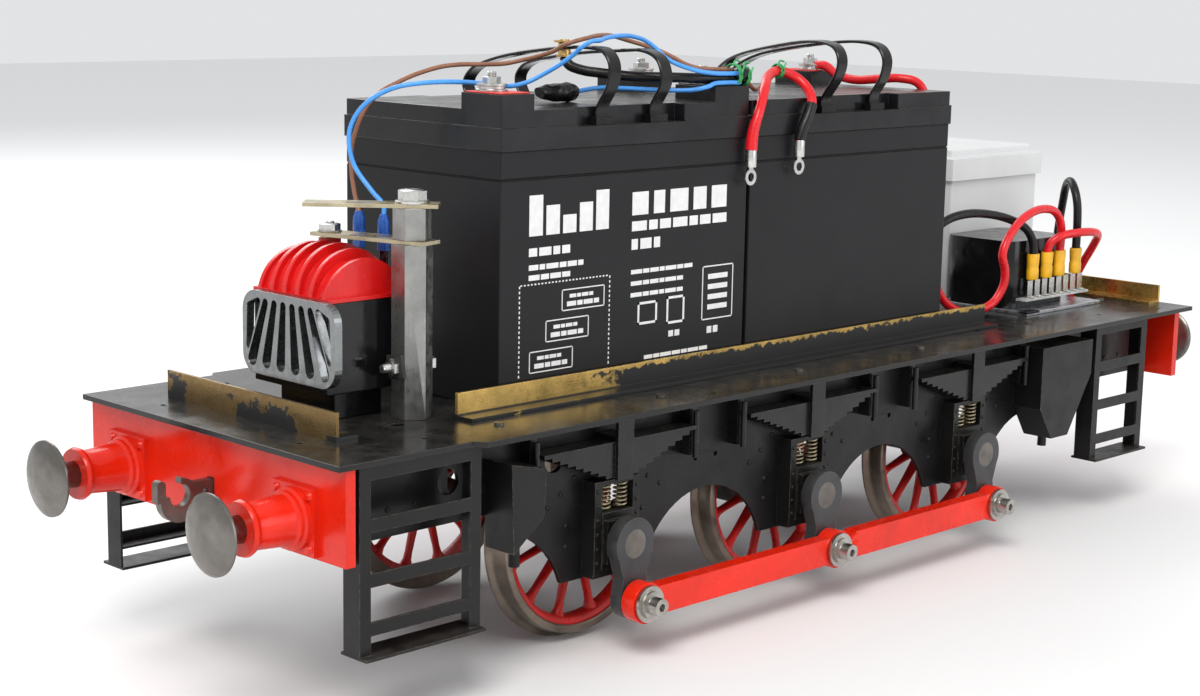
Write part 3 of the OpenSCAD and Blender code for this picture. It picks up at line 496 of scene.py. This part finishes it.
# ---- Wires and cables: the same routes as the part's solids ----
def wire(name, points, radius, material, node):
    line = [p * MM for p in smooth_path(points)]
    curve = bpy.data.curves.new(name, "CURVE")
    curve.dimensions = "3D"
    curve.bevel_depth = radius * MM
    curve.bevel_resolution = 4
    curve.use_fill_caps = True
    spline = curve.splines.new("POLY")
    spline.points.add(len(line) - 1)
    for knot, p in zip(spline.points, line):
        knot.co = (*p, 1)
    spline.use_smooth = True
    curve.materials.append(material)
    ob = link(bpy.data.objects.new(name, curve))
    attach(ob, "chassis")
    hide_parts(node)


WIRE_R, CABLE_R, SHEATH_R = 1.3, 3.0, 3.0
BLUE = [(-278, -10, 240), (-278, -9.5, 246), (-280, -2, 253), (-283, 9, 266), (-284, 12, 281), (-281, 9, 293),
        (-276, 1, 302), (-268, -9, 308), (-256, -19, 310.5), (-240, -26, 310.8), (-222, -27, 309.4),
        (-207, -24.5, 307.9), (-197, -22.5, 307.4), (-188, -25.2, 309.5), (-181, -30.5, 314), (-176, -38,
                                                                                               319.4),
        (-172.8, -45, 324.8), (-172, -51, 329.4), (-168.5, -55, 332.6), (-162, -55, 333), (-154, -51, 334),
        (-142, -46.5, 334.8), (-126, -42, 334.8), (-111, -39, 332.4), (-102.5, -40, 328), (-100, -45, 323),
        (-98, -52, 319.4), (-91, -58, 316.2), (-82, -60.7, 314.3), (-70, -62.3, 313.3), (-54, -62.5, 313.2)]
BROWN = [(-278, 11, 240), (-277.5, 15, 249), (-277, 18.5, 262), (-277, 18, 276), (-273, 13, 294),
         (-266, 8, 304),
         (-254, 7, 309.5), (-242, 6, 313.6), (-227, 4, 317.2), (-213, 2, 318.4), (-199, -1, 318.3),
         (-185, -2, 318.5), (-176.5, -9, 320.8), (-172.5, -19, 323.6), (-171, -28, 326.4), (-169.8, -35, 330),
         (-164.5, -39.5, 332.4), (-155, -38.5, 333.8), (-143, -34, 334.8), (-124.5, -26, 334.4),
         (-108, -22.5, 331.6), (-94, -23.5, 328.4), (-86, -29.5, 325), (-83, -38, 321.3), (-82.5, -47, 318),
         (-79, -54, 316.2), (-70, -57, 315.6), (-54, -57.5, 315)]
BLUE_JOINT = [(-151, -22, 302.5), (-136, -28, 305), (-117, -35, 304.5), (-97, -45, 303.5), (-88, -56, 304),
              (-82, -63, 306), (-74, -63.5, 308), (-54, -63.4, 307.9)]
SHEATHED = [(-136, 0, 321.5), (-135.2, -4, 316.6), (-131.5, -12, 314), (-126, -19.5, 312.9),
            (-118, -27, 311.8), (-110, -35, 311.2), (-94, -50, 311), (-80, -57, 310.6), (-66, -58.5, 310.2),
            (-54, -58.5, 310.2)]
BROWN_TAIL = [(-45, -60, 310), (-38, -58, 305), (-29, -54, 302.5), (-19, -49, 304), (-10, -46.5, 307.5),
              (-4, -45.4, 311)]
JUMPER = [(-50, -70.2, 268.7), (-48.5, -70.2, 280), (-43.5, -70, 291), (-33, -64.5, 303), (-19, -55, 310),
          (-4, -50, 313), (6, -54, 309.8), (9, -61.5, 303.8), (6, -68.8, 296.3), (1, -71, 288),
          (-3.5, -70.6, 280), (-6, -70.2, 272.7)]
RED_LOOP = [(306.5, -57, 179.2), (307, -57, 193), (303, -57, 203), (291, -58, 209.5), (271, -59, 210.5),
            (250, -60.5, 205), (234, -61.5, 194), (228, -61.5, 183), (232, -61.5, 171), (232, -60.5, 160),
            (224, -58, 149), (208, -55, 144.5), (192, -53, 146), (178, -50, 154), (167, -47, 174),
            (161, -44, 215), (158.5, -43, 262), (157.7, -42, 289), (154, -38, 301), (147, -28, 304),
            (143, -14, 303), (141, 4, 301.5), (141, 20, 304), (141, 30, 309.6), (141, 38, 310)]
RED_DOWN = [(290.5, -57, 179.2), (291.5, -59, 186), (298, -63.5, 190.8), (311, -67.5, 192.5),
            (328, -68.5, 192),
            (342, -65.5, 188.5), (350, -57.5, 179.5), (352.5, -49, 167), (353, -42, 154), (353, -38.5, 145),
            (353, -38, 138)]
BLACK_ARCH = [(273, -57, 179.2), (272, -56.5, 188), (264, -55, 198), (247, -52, 205.5), (226, -48, 210),
              (205, -45, 211), (188, -41, 207), (177, -36, 196), (171, -31, 178), (168, -28, 158),
              (168, -27.5, 147), (168, -27.5, 138)]
BLACK_UP = [(327.5, -57, 179.2), (327.5, -57, 196), (327.5, -56, 211), (330.5, -51, 221.5), (337, -43, 226),
            (346, -34, 221), (352, -28, 207), (354.5, -24, 188), (355, -22, 168), (355, -21.5, 150),
            (355, -21.5, 138)]

wire("blue_lead", BLUE, WIRE_R, M["blue_wire"], "wire_blue")
wire("blue_joint_lead", BLUE_JOINT, WIRE_R, M["blue_wire"], "wire_blue")
wire("brown_lead", BROWN, WIRE_R, M["brown_wire"], "wire_brown")
wire("brown_tail", BROWN_TAIL, WIRE_R, M["brown_wire"], "wire_brown")
wire("sheathed_lead", SHEATHED, SHEATH_R, M["black_wire"], "wire_sheathed")
wire("red_loop", RED_LOOP, CABLE_R, M["red_wire"], "cables_red")
wire("red_down", RED_DOWN, CABLE_R, M["red_wire"], "cables_red")
wire("black_arch", BLACK_ARCH, CABLE_R, M["black_wire"], "cables_black")
wire("black_up", BLACK_UP, CABLE_R, M["black_wire"], "cables_black")
wire("jumper_cable", JUMPER, CABLE_R, M["red_wire"], "jumper_lead")


# ---- Wheels ----
AXLES = {"front": -186.0, "middle": -21.0, "rear": 144.0}
AXLE_Z, TREAD_R, BACK_Y = 63.5, 60.0, 59.5
NEAR_FAR = ((1, Matrix.Identity(4)), (-1, mirror_y()))


def spoke(shape, matrix, angle):
    """A tapered oval spoke that flares into the hub and the rim."""
    rings = []
    for r, half, thick in ((10, 4.6, 4.6), (14, 3.4, 4.2), (18, 2.6, 3.8), (30, 2.1, 3.2), (42, 1.9, 2.8),
                           (46.5, 2.4, 3.0),
                           (49.5, 4.2, 3.6), (52, 6.5, 4.2)):
        rings.append([(r, half * c, 6.5 + thick * s) for c, s in circle(1, 14)])
    shape.at(matrix @ Matrix.Rotation(angle, 4, "Z"))
    shape.rings(rings)


def make_wheels():
    for which, x in AXLES.items():
        centre, tyre = Shape(), Shape()
        for _, side in NEAR_FAR:
            at = side @ place((x, -BACK_Y, AXLE_Z), (0, -1, 0))
            centre.at(at)
            centre.lathe([(8.02, 0.5), (13, 0.5), (14.5, 2), (14.5, 12.5), (13, 14.2), (9, 14.5), (8.02, 14)],
                         48, closed=True)
            centre.lathe([(50, 3.5), (54.6, 2.5), (54.6, 12), (53, 12.2), (51.4, 11.4), (50.2, 9.5),
                          (49.8, 6.5)], 72, closed=True)
            for i in range(12):
                spoke(centre, at, 2 * math.pi * (i + 0.5) / 12)
            tyre.at(at)
            tyre.lathe([(54.5, 0.2), (62.6, 0.1), (63.4, 0.8), (63.5, 1.7), (62.8, 2.7), (61, 3.6),
                        (60.3, 4.6), (60, 6),
                        (59.5, 12.3), (59, 13.2), (58.2, 13.5), (55.3, 13.5), (54.5, 12.8)], 96, closed=True)
        piece(f"wheel_centres_{which}", centre, M["wheel_red"], f"wheelset_{which}", [f"wheels_{which}"])
        piece(f"tyres_{which}", tyre, M["tyre"], f"wheelset_{which}", [f"wheels_{which}"])


make_wheels()


# ---- Coil springs over the axleboxes ----
def make_coil_springs():
    springs = Shape()
    low, high = AXLE_Z + 16, 95.0
    turns, steps, coil_r, wire_r = 6, 14, 3.6, 0.6
    for x in AXLES.values():
        for s in (-1, 1):
            for _, side in NEAR_FAR:
                springs.at(side @ place((x + 6.4 * s, -94.5, 0)))
                line = []
                for i in range(turns * steps + 1):
                    t = i / (turns * steps)
                    a = 2 * math.pi * turns * t
                    line.append((coil_r * math.cos(a), coil_r * math.sin(a),
                                 low + 0.65 + (high - low - 1.3) * t))
                springs.tube(line, wire_r, 8)
    ob = piece("spring_coils", springs, M["spring"], "chassis", ["coil_springs"])
    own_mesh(ob)


make_coil_springs()


# ---- Rivets, bolts and screws that stand on the CAD plates ----
def rivet(shape, matrix, r=1.5, h=0.9):
    shape.at(matrix)
    shape.lathe([(0, -0.4), (r, -0.4), (r, 0), (r * 0.86, h * 0.55), (r * 0.5, h * 0.92), (0.02, h)], 12)


def make_rivets():
    rivets = Shape()
    for _, side in NEAR_FAR:
        for x in AXLES.values():
            for s in (-1, 1):
                for z in (52, 60, 68, 76, 84, 92):
                    rivet(rivets, side @ place((x + s * 15, -99, z), (0, -1, 0)), 1.2, 0.8)
                for dx, z in ((24, 100), (34, 92), (44, 86), (24, 116), (72, 128), (30, 74), (30, 62)):
                    rivet(rivets, side @ place((x + s * dx, -89, z), (0, -1, 0)))
        for x in range(-360, 361, 24):
            if abs(x) > 262 or -290 < x < 262:
                rivet(rivets, side @ place((x, -89, 130.5), (0, -1, 0)), 1.4, 0.8)
        for x in (-340, -322, 300, 322, 340):
            rivet(rivets, side @ place((x, -89, 104), (0, -1, 0)))
    piece("frame_rivets", rivets, M["frame"])


make_rivets()


def screw_head(shape, matrix, r=2.7, h=1.3, slot_turn=0.0):
    """Cheese-headed screw with a slot."""
    shape.at(matrix @ Matrix.Rotation(slot_turn, 4, "Z"))
    w = 0.35
    for s in (-1, 1):
        arc = [(r * math.cos(a), s * r * math.sin(a)) for a in
               [math.asin(w / r) + (math.pi - 2 * math.asin(w / r)) * i / 10 for i in range(11)]]
        shape.prism(arc, 0, h)
    shape.lathe([(0, -0.3), (r, -0.3), (r, h * 0.45), (0.02, h * 0.45)], 20)


def make_deck_screws():
    screws = Shape()
    for i, (x,
            y) in enumerate(((-345, 88), (-268, -92), (-150, -96), (-30, -96), (90, -96), (230, -84),
                             (360, -60), (362, 66),
                                (-268, 92), (-30, 96), (230, 98))):
        screw_head(screws, place((x, y, 138)), slot_turn=i * 0.9)
    piece("deck_screws", screws, M["dark_steel"])


make_deck_screws()


# ---- Post bolts ----
POST_X, POST_Y, DECK, STRIP_TOP, NUT = -290.0, -48.0, 138.0, 251.0, (-303.1, 4.4, 232.0)


def make_post():
    fasteners = Shape()
    fasteners.at(place((POST_X, POST_Y, STRIP_TOP)))
    fasteners.lathe([(3, 0), (8.8, 0), (9, 0.3), (9, 1.2), (8.7, 1.5), (3, 1.5)], 40)
    fasteners.at(place((POST_X, POST_Y, STRIP_TOP + 1.5), (0, 0, 1), 12))
    fasteners.hex(7.5, 0, 5.5, 0.8)
    fasteners.at(place(NUT, (0, 0, 1), 20))
    fasteners.lathe([(3, 0), (6.4, 0), (6.6, 0.3), (6.6, 0.8), (3, 0.8)], 32)
    fasteners.hex(5.8, 0.8, 4.4, 0.6)
    fasteners.thread(2.6, 4.2, 5.6, 0.6)
    fasteners.at(place((POST_X - 12, POST_Y, DECK + 28), (-1, 0, 0)))
    fasteners.hex(4.7, 0, 3.4, 0.5)
    fasteners.thread(2.5, 3.0, 8.4, 0.8)
    fasteners.at(place((POST_X + 9.6, POST_Y, DECK + 28), (1, 0, 0)))
    fasteners.hex(5.0, 0, 3.5, 0.5)
    piece("post_bolts", fasteners, M["plated"], replaces=["post_fasteners"])
    washer = Shape()
    washer.at(place((POST_X - 9.6, POST_Y, DECK + 28), (-1, 0, 0), 8))
    washer.box((-6.4, -6.4, 0), (6.4, 6.4, 2.3))
    piece("post_washer", washer, M["rubber"], bevel=0.6)


make_post()


# ---- Battery terminals, handles and print ----
BAT_TOP, LID_H = 276.0, 21.3
BAT_XS = (-145.5, 54.5)


def at_battery(i):
    return place((BAT_XS[i], 0, BAT_TOP), (0, 0, 1), 180 * i)


def make_terminals():
    metal, pads, plates = Shape(), Shape(), Shape()
    for i in (0, 1):
        for x in (-86.5, 80.5):
            at = at_battery(i) @ place((x, -44, LID_H + 8.7))
            pad = pads if x < 0 else plates
            pad.at(at)
            pad.box((-10.5, -19, 0), (10.5, 10, 0.8))
            metal.at(at @ place((0, 0, 0.9)))
            metal.lathe([(3, 0), (8.5, 0), (8.5, 0.8), (7.6, 1.2), (7.6, 2.6), (8.3, 3.0), (8.3, 3.8),
                         (5.4, 4.2), (3, 4.2)], 40)
            metal.at(at @ place((0, 0, 4.9), (0, 0, 1), 20))
            metal.hex(4.9, 0, 3.6, 0.5)
            metal.thread(2.6, 3.4, 6.3, 0.7)
    piece("terminal_bolts", metal, M["plated"], replaces=["battery_terminals"])
    piece("terminal_pads", pads, M["red_pad"], bevel=0.3)
    piece("terminal_plates", plates, M["lid"], bevel=0.3)


make_terminals()

# X at the near and far ends, then the strap's middle line in Y and Z
STRAPS = (
    ((-165, -153), [(-61, 287.3), (-60, 296), (-69, 309), (-70.5, 320), (-65, 327), (-55, 329), (-27, 328),
        (19, 322.5), (48, 316), (60, 310), (64.5, 303), (61, 295), (61, 287.3)]),
    ((-122, -110), [(-61, 287.3), (-60, 296), (-68.5, 309), (-67, 319), (-61, 324.5), (-49, 327), (-30, 326),
        (0, 323.8), (30, 320), (54, 315.5), (64, 309), (65, 302), (61, 295), (61, 287.3)]),
    ((30, 70), [(-61, 287.3), (-60, 296), (-72, 309), (-76, 319), (-71, 327), (-58, 330), (-35, 329.5),
        (0, 325), (34, 319), (55, 312), (65, 304), (61, 295), (61, 287.3)]),
    ((78, 87), [(-61, 287.3), (-60, 296), (-68, 308), (-70, 319), (-64, 327), (-50, 329.5), (-28, 328.5),
        (5, 324.5), (36, 319), (56, 312), (66, 304), (61, 295), (61, 287.3)]),
)


def make_handles():
    straps = Shape()
    straps.at(Matrix.Identity(4))
    for (near, far), points in STRAPS:
        line = smooth_path([(near + (far - near) * (y + 61) / 122, y, z) for y, z in points], 5)
        straps.ribbon(line, (1, 0, 0), 9, 1.9)
        for p in (line[0], line[-1]):
            straps.box((p.x - 7, p.y - 2.4, p.z), (p.x + 7, p.y + 2.4, p.z + 4.5))
    piece("carry_straps", straps, M["strap"], replaces=["battery_handles"])


make_handles()


def make_print():
    """Generic printed marks on the front battery: rows of blank dashes and empty boxes, with no lettering."""
    marks = Shape()

    def bar(x0, x1, z0, z1):
        marks.box((x0, -65.14, z0), (x1, -64.9, z1))

    def frame_box(x0, x1, z0, z1, t=0.7):
        bar(x0, x1, z0, z0 + t)
        bar(x0, x1, z1 - t, z1)
        bar(x0, x0 + t, z0, z1)
        bar(x1 - t, x1, z0, z1)

    def row(x0, x1, z0, z1, widths):
        """A row of dashes between two heights, in the given repeating widths."""
        x, k, gap = x0, 0, (z1 - z0) * 0.35
        while x + widths[k % len(widths)] <= x1:
            bar(x, x + widths[k % len(widths)], z0, z1)
            x += widths[k % len(widths)] + gap
            k += 1

    for k, top in enumerate((252, 246, 240, 246, 252)):
        bar(-223 + 12.6 * k, -213 + 12.6 * k, 230, top)
    row(-223, -188, 219, 223.5, (6, 9, 5))
    row(-223, -172, 211.5, 214.4, (7, 4, 9, 5))
    row(-223, -186, 206, 208.9, (8, 6))
    row(-144, -60, 236, 249, (13, 9, 15, 11))
    row(-144, -58, 227, 232.5, (12, 7, 9))
    row(-144, -112, 216.5, 222.5, (5, 9))
    for z, end in ((202.6, -92), (196, -98), (189.4, -96)):
        row(-144, end, z, z + 2.4, (9, 5, 7, 4))
    frame_box(-84, -57, 170, 202)
    for k in range(4):
        bar(-79, -62, 176 + 6 * k, 179 + 6 * k)
    row(-79, -68, 162, 166, (4,))
    frame_box(-138, -122, 173, 186, 1.4)
    frame_box(-114, -99, 171, 187, 1.4)
    row(-112, -102, 163.5, 167, (4,))
    row(-132, -76, 152.6, 154.8, (7, 5, 9))
    for x, z in ((-198, 187), (-210, 171), (-222, 155)):
        frame_box(x, x + 33, z, z + 12, 0.6)
        row(x + 6, x + 27, z + 7, z + 9, (5, 3))
        row(x + 4, x + 29, z + 2.4, z + 5, (7, 4))
    for k in range(26):
        bar(-229 + 2.6 * k, -227.8 + 2.6 * k, 203.4, 204.2)
    for k in range(19):
        bar(-230, -229.2, 153.6 + 2.7 * k, 155 + 2.7 * k)
        bar(-161.4, -160.6, 153.6 + 2.7 * k, 155 + 2.7 * k)
    piece("battery_print", marks, M["print"])


make_print()


# ---- Ties, tape and the ends of the wires ----
def crumple(shape, matrix, size, seed):
    """A lump of creased tape."""
    shape.at(matrix)
    rings = []
    for i in range(17):
        t = i / 16
        reach = math.sin(math.pi * (0.12 + 0.76 * t)) ** 0.6
        ring = []
        for j in range(28):
            a = 2 * math.pi * j / 28
            fold = 1 + 0.11 * math.sin(2 * a + seed + 4 * t) + 0.05 * math.sin(5 * a - 3 * seed + 8 * t)
            fold += 0.035 * math.sin(24 * t + 2 * a)
            ring.append(((t - 0.5) * size[0], size[1] / 2 * reach * fold * math.cos(a),
                         size[2] / 2 * reach * fold * math.sin(a)))
        rings.append(ring)
    shape.rings(rings)


def make_wire_ends():
    spades, caps = Shape(), Shape()
    for y in (11, -10):
        caps.at(place((-278, y, 240)))
        caps.lathe([(0, -11), (3.2, -11), (3.4, -10), (3.3, -3), (2.5, -1), (2.1, 0.6), (1.4, 0.8),
                    (0.02, 0.8)], 24)
        caps.at(place((-278, y, 230)))
        caps.rings([[(1.9 * b, 3.8 * a, z) for a,
                     b in ((-1, -0.6), (-0.8, -1), (0.8, -1), (1, -0.6), (1, 0.6), (0.8, 1),
                                                        (-0.8, 1), (-1, 0.6))] for z in (-9, 0.5)])
        spades.at(place((-278, y, 200)))
        spades.box((-0.45, -2.9, 0), (0.45, 2.9, 22))
    piece("spade_caps", caps, M["blue_cap"], replaces=["spade_terminals"], bevel=0.3)
    piece("spade_blades", spades, M["plated"])

    tape = Shape()
    crumple(tape, place((-166, -26, 303.3)), (28, 14, 11), 0.4)
    crumple(tape, place((-153, -21, 301.5)) @ Matrix.Rotation(0.5, 4, "Z"), (19, 11, 7.4), 2.1)
    crumple(tape, place((-49.5, -59.5, 312)), (12, 12, 11), 1.3)
    piece("tape_wraps", tape, M["tape"], replaces=["wire_tape"], sharp=60)

    ties = Shape()
    ties.at(Matrix.Identity(4))
    for x, y, z, r, turns in ((-56, -60, 312.2, 6.2, 3), (-47.5, -60, 311.6, 5.6, 3), (-4, -50, 313, 4.0, 3)):
        coil = [(x + 0.9 * (i / 20) - 1.5 + 0.3 * math.sin(3 * i), y + r * math.cos(math.pi * i / 10),
                 z + r * math.sin(math.pi * i / 10)) for i in range(20 * turns)]
        ties.tube(coil, 0.6, 8)
        ties.tube(smooth_path([(x, y - r, z), (x - 1, y - r - 1.5, z + 2), (x + 1, y - r - 1, z + 5)], 4),
                  0.55, 8)
        ties.tube(smooth_path([(x, y, z + r), (x + 2.5, y + 1, z + r + 2), (x + 5.5, y, z + r + 1.5)], 4),
                  0.55, 8)
    piece("wire_ties", ties, M["green_tie"])

    shrink, sleeve = Shape(), Shape()
    line = smooth_path(JUMPER, 6)
    shrink.at(Matrix.Identity(4))
    shrink.tube(line[:10], lambda t: 3.7 - 0.5 * t, 16)
    sleeve.at(Matrix.Identity(4))
    sleeve.tube(line[-17:], 3.5, 16)
    piece("jumper_shrink", shrink, M["red_wire"])
    piece("jumper_sleeve", sleeve, M["black_wire"])


make_wire_ends()


# ---- Controller's terminals ----
CTL_X, CTL_Y, SLEEVE_Z = 253.0, -57.0, 162.2
SLEEVE_XS = (273, 290.5, 306.5, 327.5)


def make_controller_parts():
    sleeves, blades, board = Shape(), Shape(), Shape()
    for x in SLEEVE_XS:
        squeeze = Matrix.Scale(1.25, 4, (1, 0, 0)) @ Matrix.Scale(0.85, 4, (0, 1, 0))
        sleeves.at(place((x, CTL_Y, SLEEVE_Z - 1)) @ squeeze)
        sleeves.lathe([(1.5, 0), (4.0, 0), (4.4, 1), (4.4, 7), (4.0, 8.5), (4.2, 10), (4.5, 17), (4.2, 18.2),
                       (3.4, 18.2),
                       (3.4, 8), (1.5, 8)], 28, closed=True)
    for i in range(8):
        x = CTL_X + 17.5 + 9.1 * i
        blades.at(place((x, CTL_Y, DECK + 10)))
        blades.box((-3.1, -0.45, 0), (3.1, 0.45, 12.6))
        blades.box((-1.4, -2.6, -0.4), (1.4, 2.6, 1.2))
        blades.at(place((x, CTL_Y - 2.6, DECK + 11.4), (0, 0, 1)))
        blades.lathe([(0, -1.2), (1.5, -1.2), (1.6, -0.4), (1.0, 0.4), (0.02, 0.6)], 12)
    board.at(Matrix.Identity(4))
    board.box((CTL_X + 8, CTL_Y - 4, DECK + 8.5), (CTL_X + 88, CTL_Y + 4.9, DECK + 10.1))
    piece("sleeves", sleeves, M["yellow_cap"], replaces=["crimp_sleeves"])
    piece("blades", blades, M["plated"], replaces=["controller_terminals"], bevel=0.15)
    piece("board_edge", board, M["board"], bevel=0.2)
    tape = Shape()
    tape.box((CTL_X - 0.3, CTL_Y - 11.2, DECK + 1.2), (CTL_X + 15, CTL_Y - 3, DECK + 2.9))
    piece("base_tape", tape, M["tape"], bevel=0.5)


make_controller_parts()


# ---- CAD nodes that keep their shape ----
def finish_node(material, bevel, *names):
    for name in names:
        ob = nodes[name]
        ob.data.materials.clear()
        ob.data.materials.append(M[material])
        if bevel:
            weld = ob.modifiers.new("Weld", "WELD")
            weld.merge_threshold = 0.00001
            soften(ob, bevel)


finish_node("frame", 0.2, "frame_plates", "frame_stretchers")
finish_node("deck", 0.25, "deck")
finish_node("worn_black", 0.2, "horn_guides", "steps", "sandboxes", "axleboxes")
finish_node("springs", 0.25, "leaf_springs")
finish_node("red", 0.4, "front_beam", "rear_beam", "buffer_stocks")
finish_node("rod_red", 0.4, "rods_near", "rods_far")
finish_node("crank", 0.6, "cranks_front", "cranks_middle", "cranks_rear")
finish_node("steel", 0.3, "crankpins_front", "crankpins_middle", "crankpins_rear")
finish_node("head_steel", 0.3, "buffer_fr_near", "buffer_fr_far", "buffer_rr_near", "buffer_rr_far")
finish_node("dark_steel", 0.5, "axle_front", "axle_middle", "axle_rear", "hook_front", "hook_rear")
finish_node("motor", 0.5, "drive_motor")
finish_node("brass", 0.2, "brass_angles")
finish_node("jack", 0.3, "push_button")
finish_node("zinc", 0.25, "post_strips")
finish_node("post", 0.4, "post")
finish_node("case", 0.8, "battery_cases")
finish_node("lid", 0.6, "battery_lids")
finish_node("horn_black", 1.0, "horn_body", "controller_cover")
finish_node("silver", 0.5, "horn_grille")
finish_node("dome_red", 0.6, "horn_top")
finish_node("aluminium", 0.4, "controller_base")
finish_node("white", 1.2, "tub", "tub_lid")
finish_node("plated", 0.2, "ring_terminals")


# ---- Floor and light ----
def make_stage():
    mesh = bpy.data.meshes.new("Floor")
    size = 6.0
    mesh.from_pydata([(-size, -size, 0), (size, -size, 0), (size, size, 0), (-size, size, 0)], [],
                     [(0, 1, 2, 3)])
    floor = link(bpy.data.objects.new("Floor", mesh))
    n = Nodes("pale_floor")
    n.bsdf.inputs["Base Color"].default_value = rgb(0.84, 0.84, 0.845)
    n.bsdf.inputs["Roughness"].default_value = 0.7
    mesh.materials.append(n.material)
    world = bpy.data.worlds.new("World")
    world.use_nodes = True
    world.node_tree.nodes["Background"].inputs["Color"].default_value = rgb(0.98, 0.99, 1.0)
    world.node_tree.nodes["Background"].inputs["Strength"].default_value = 0.78
    bpy.context.scene.world = world
    for name, at, size, power, colour in (
        ("Key", (-1.7, -1.2, 2.4), 1.4, 60, (1, 0.97, 0.93)),
        ("Fill", (0.9, -2.4, 1.0), 1.6, 16, (0.95, 0.97, 1)),
        ("Back", (0.4, 2.2, 1.9), 1.8, 35, (1, 1, 1)),
    ):
        data = bpy.data.lights.new(name, "AREA")
        data.size, data.energy, data.color = size, power, colour
        lamp = link(bpy.data.objects.new(name, data))
        lamp.location = at
        lamp.rotation_euler = (Vector((0, 0, 0.15)) - Vector(at)).to_track_quat("-Z", "Y").to_euler()
    view = bpy.context.scene.view_settings
    view.view_transform = "Standard"


make_stage()
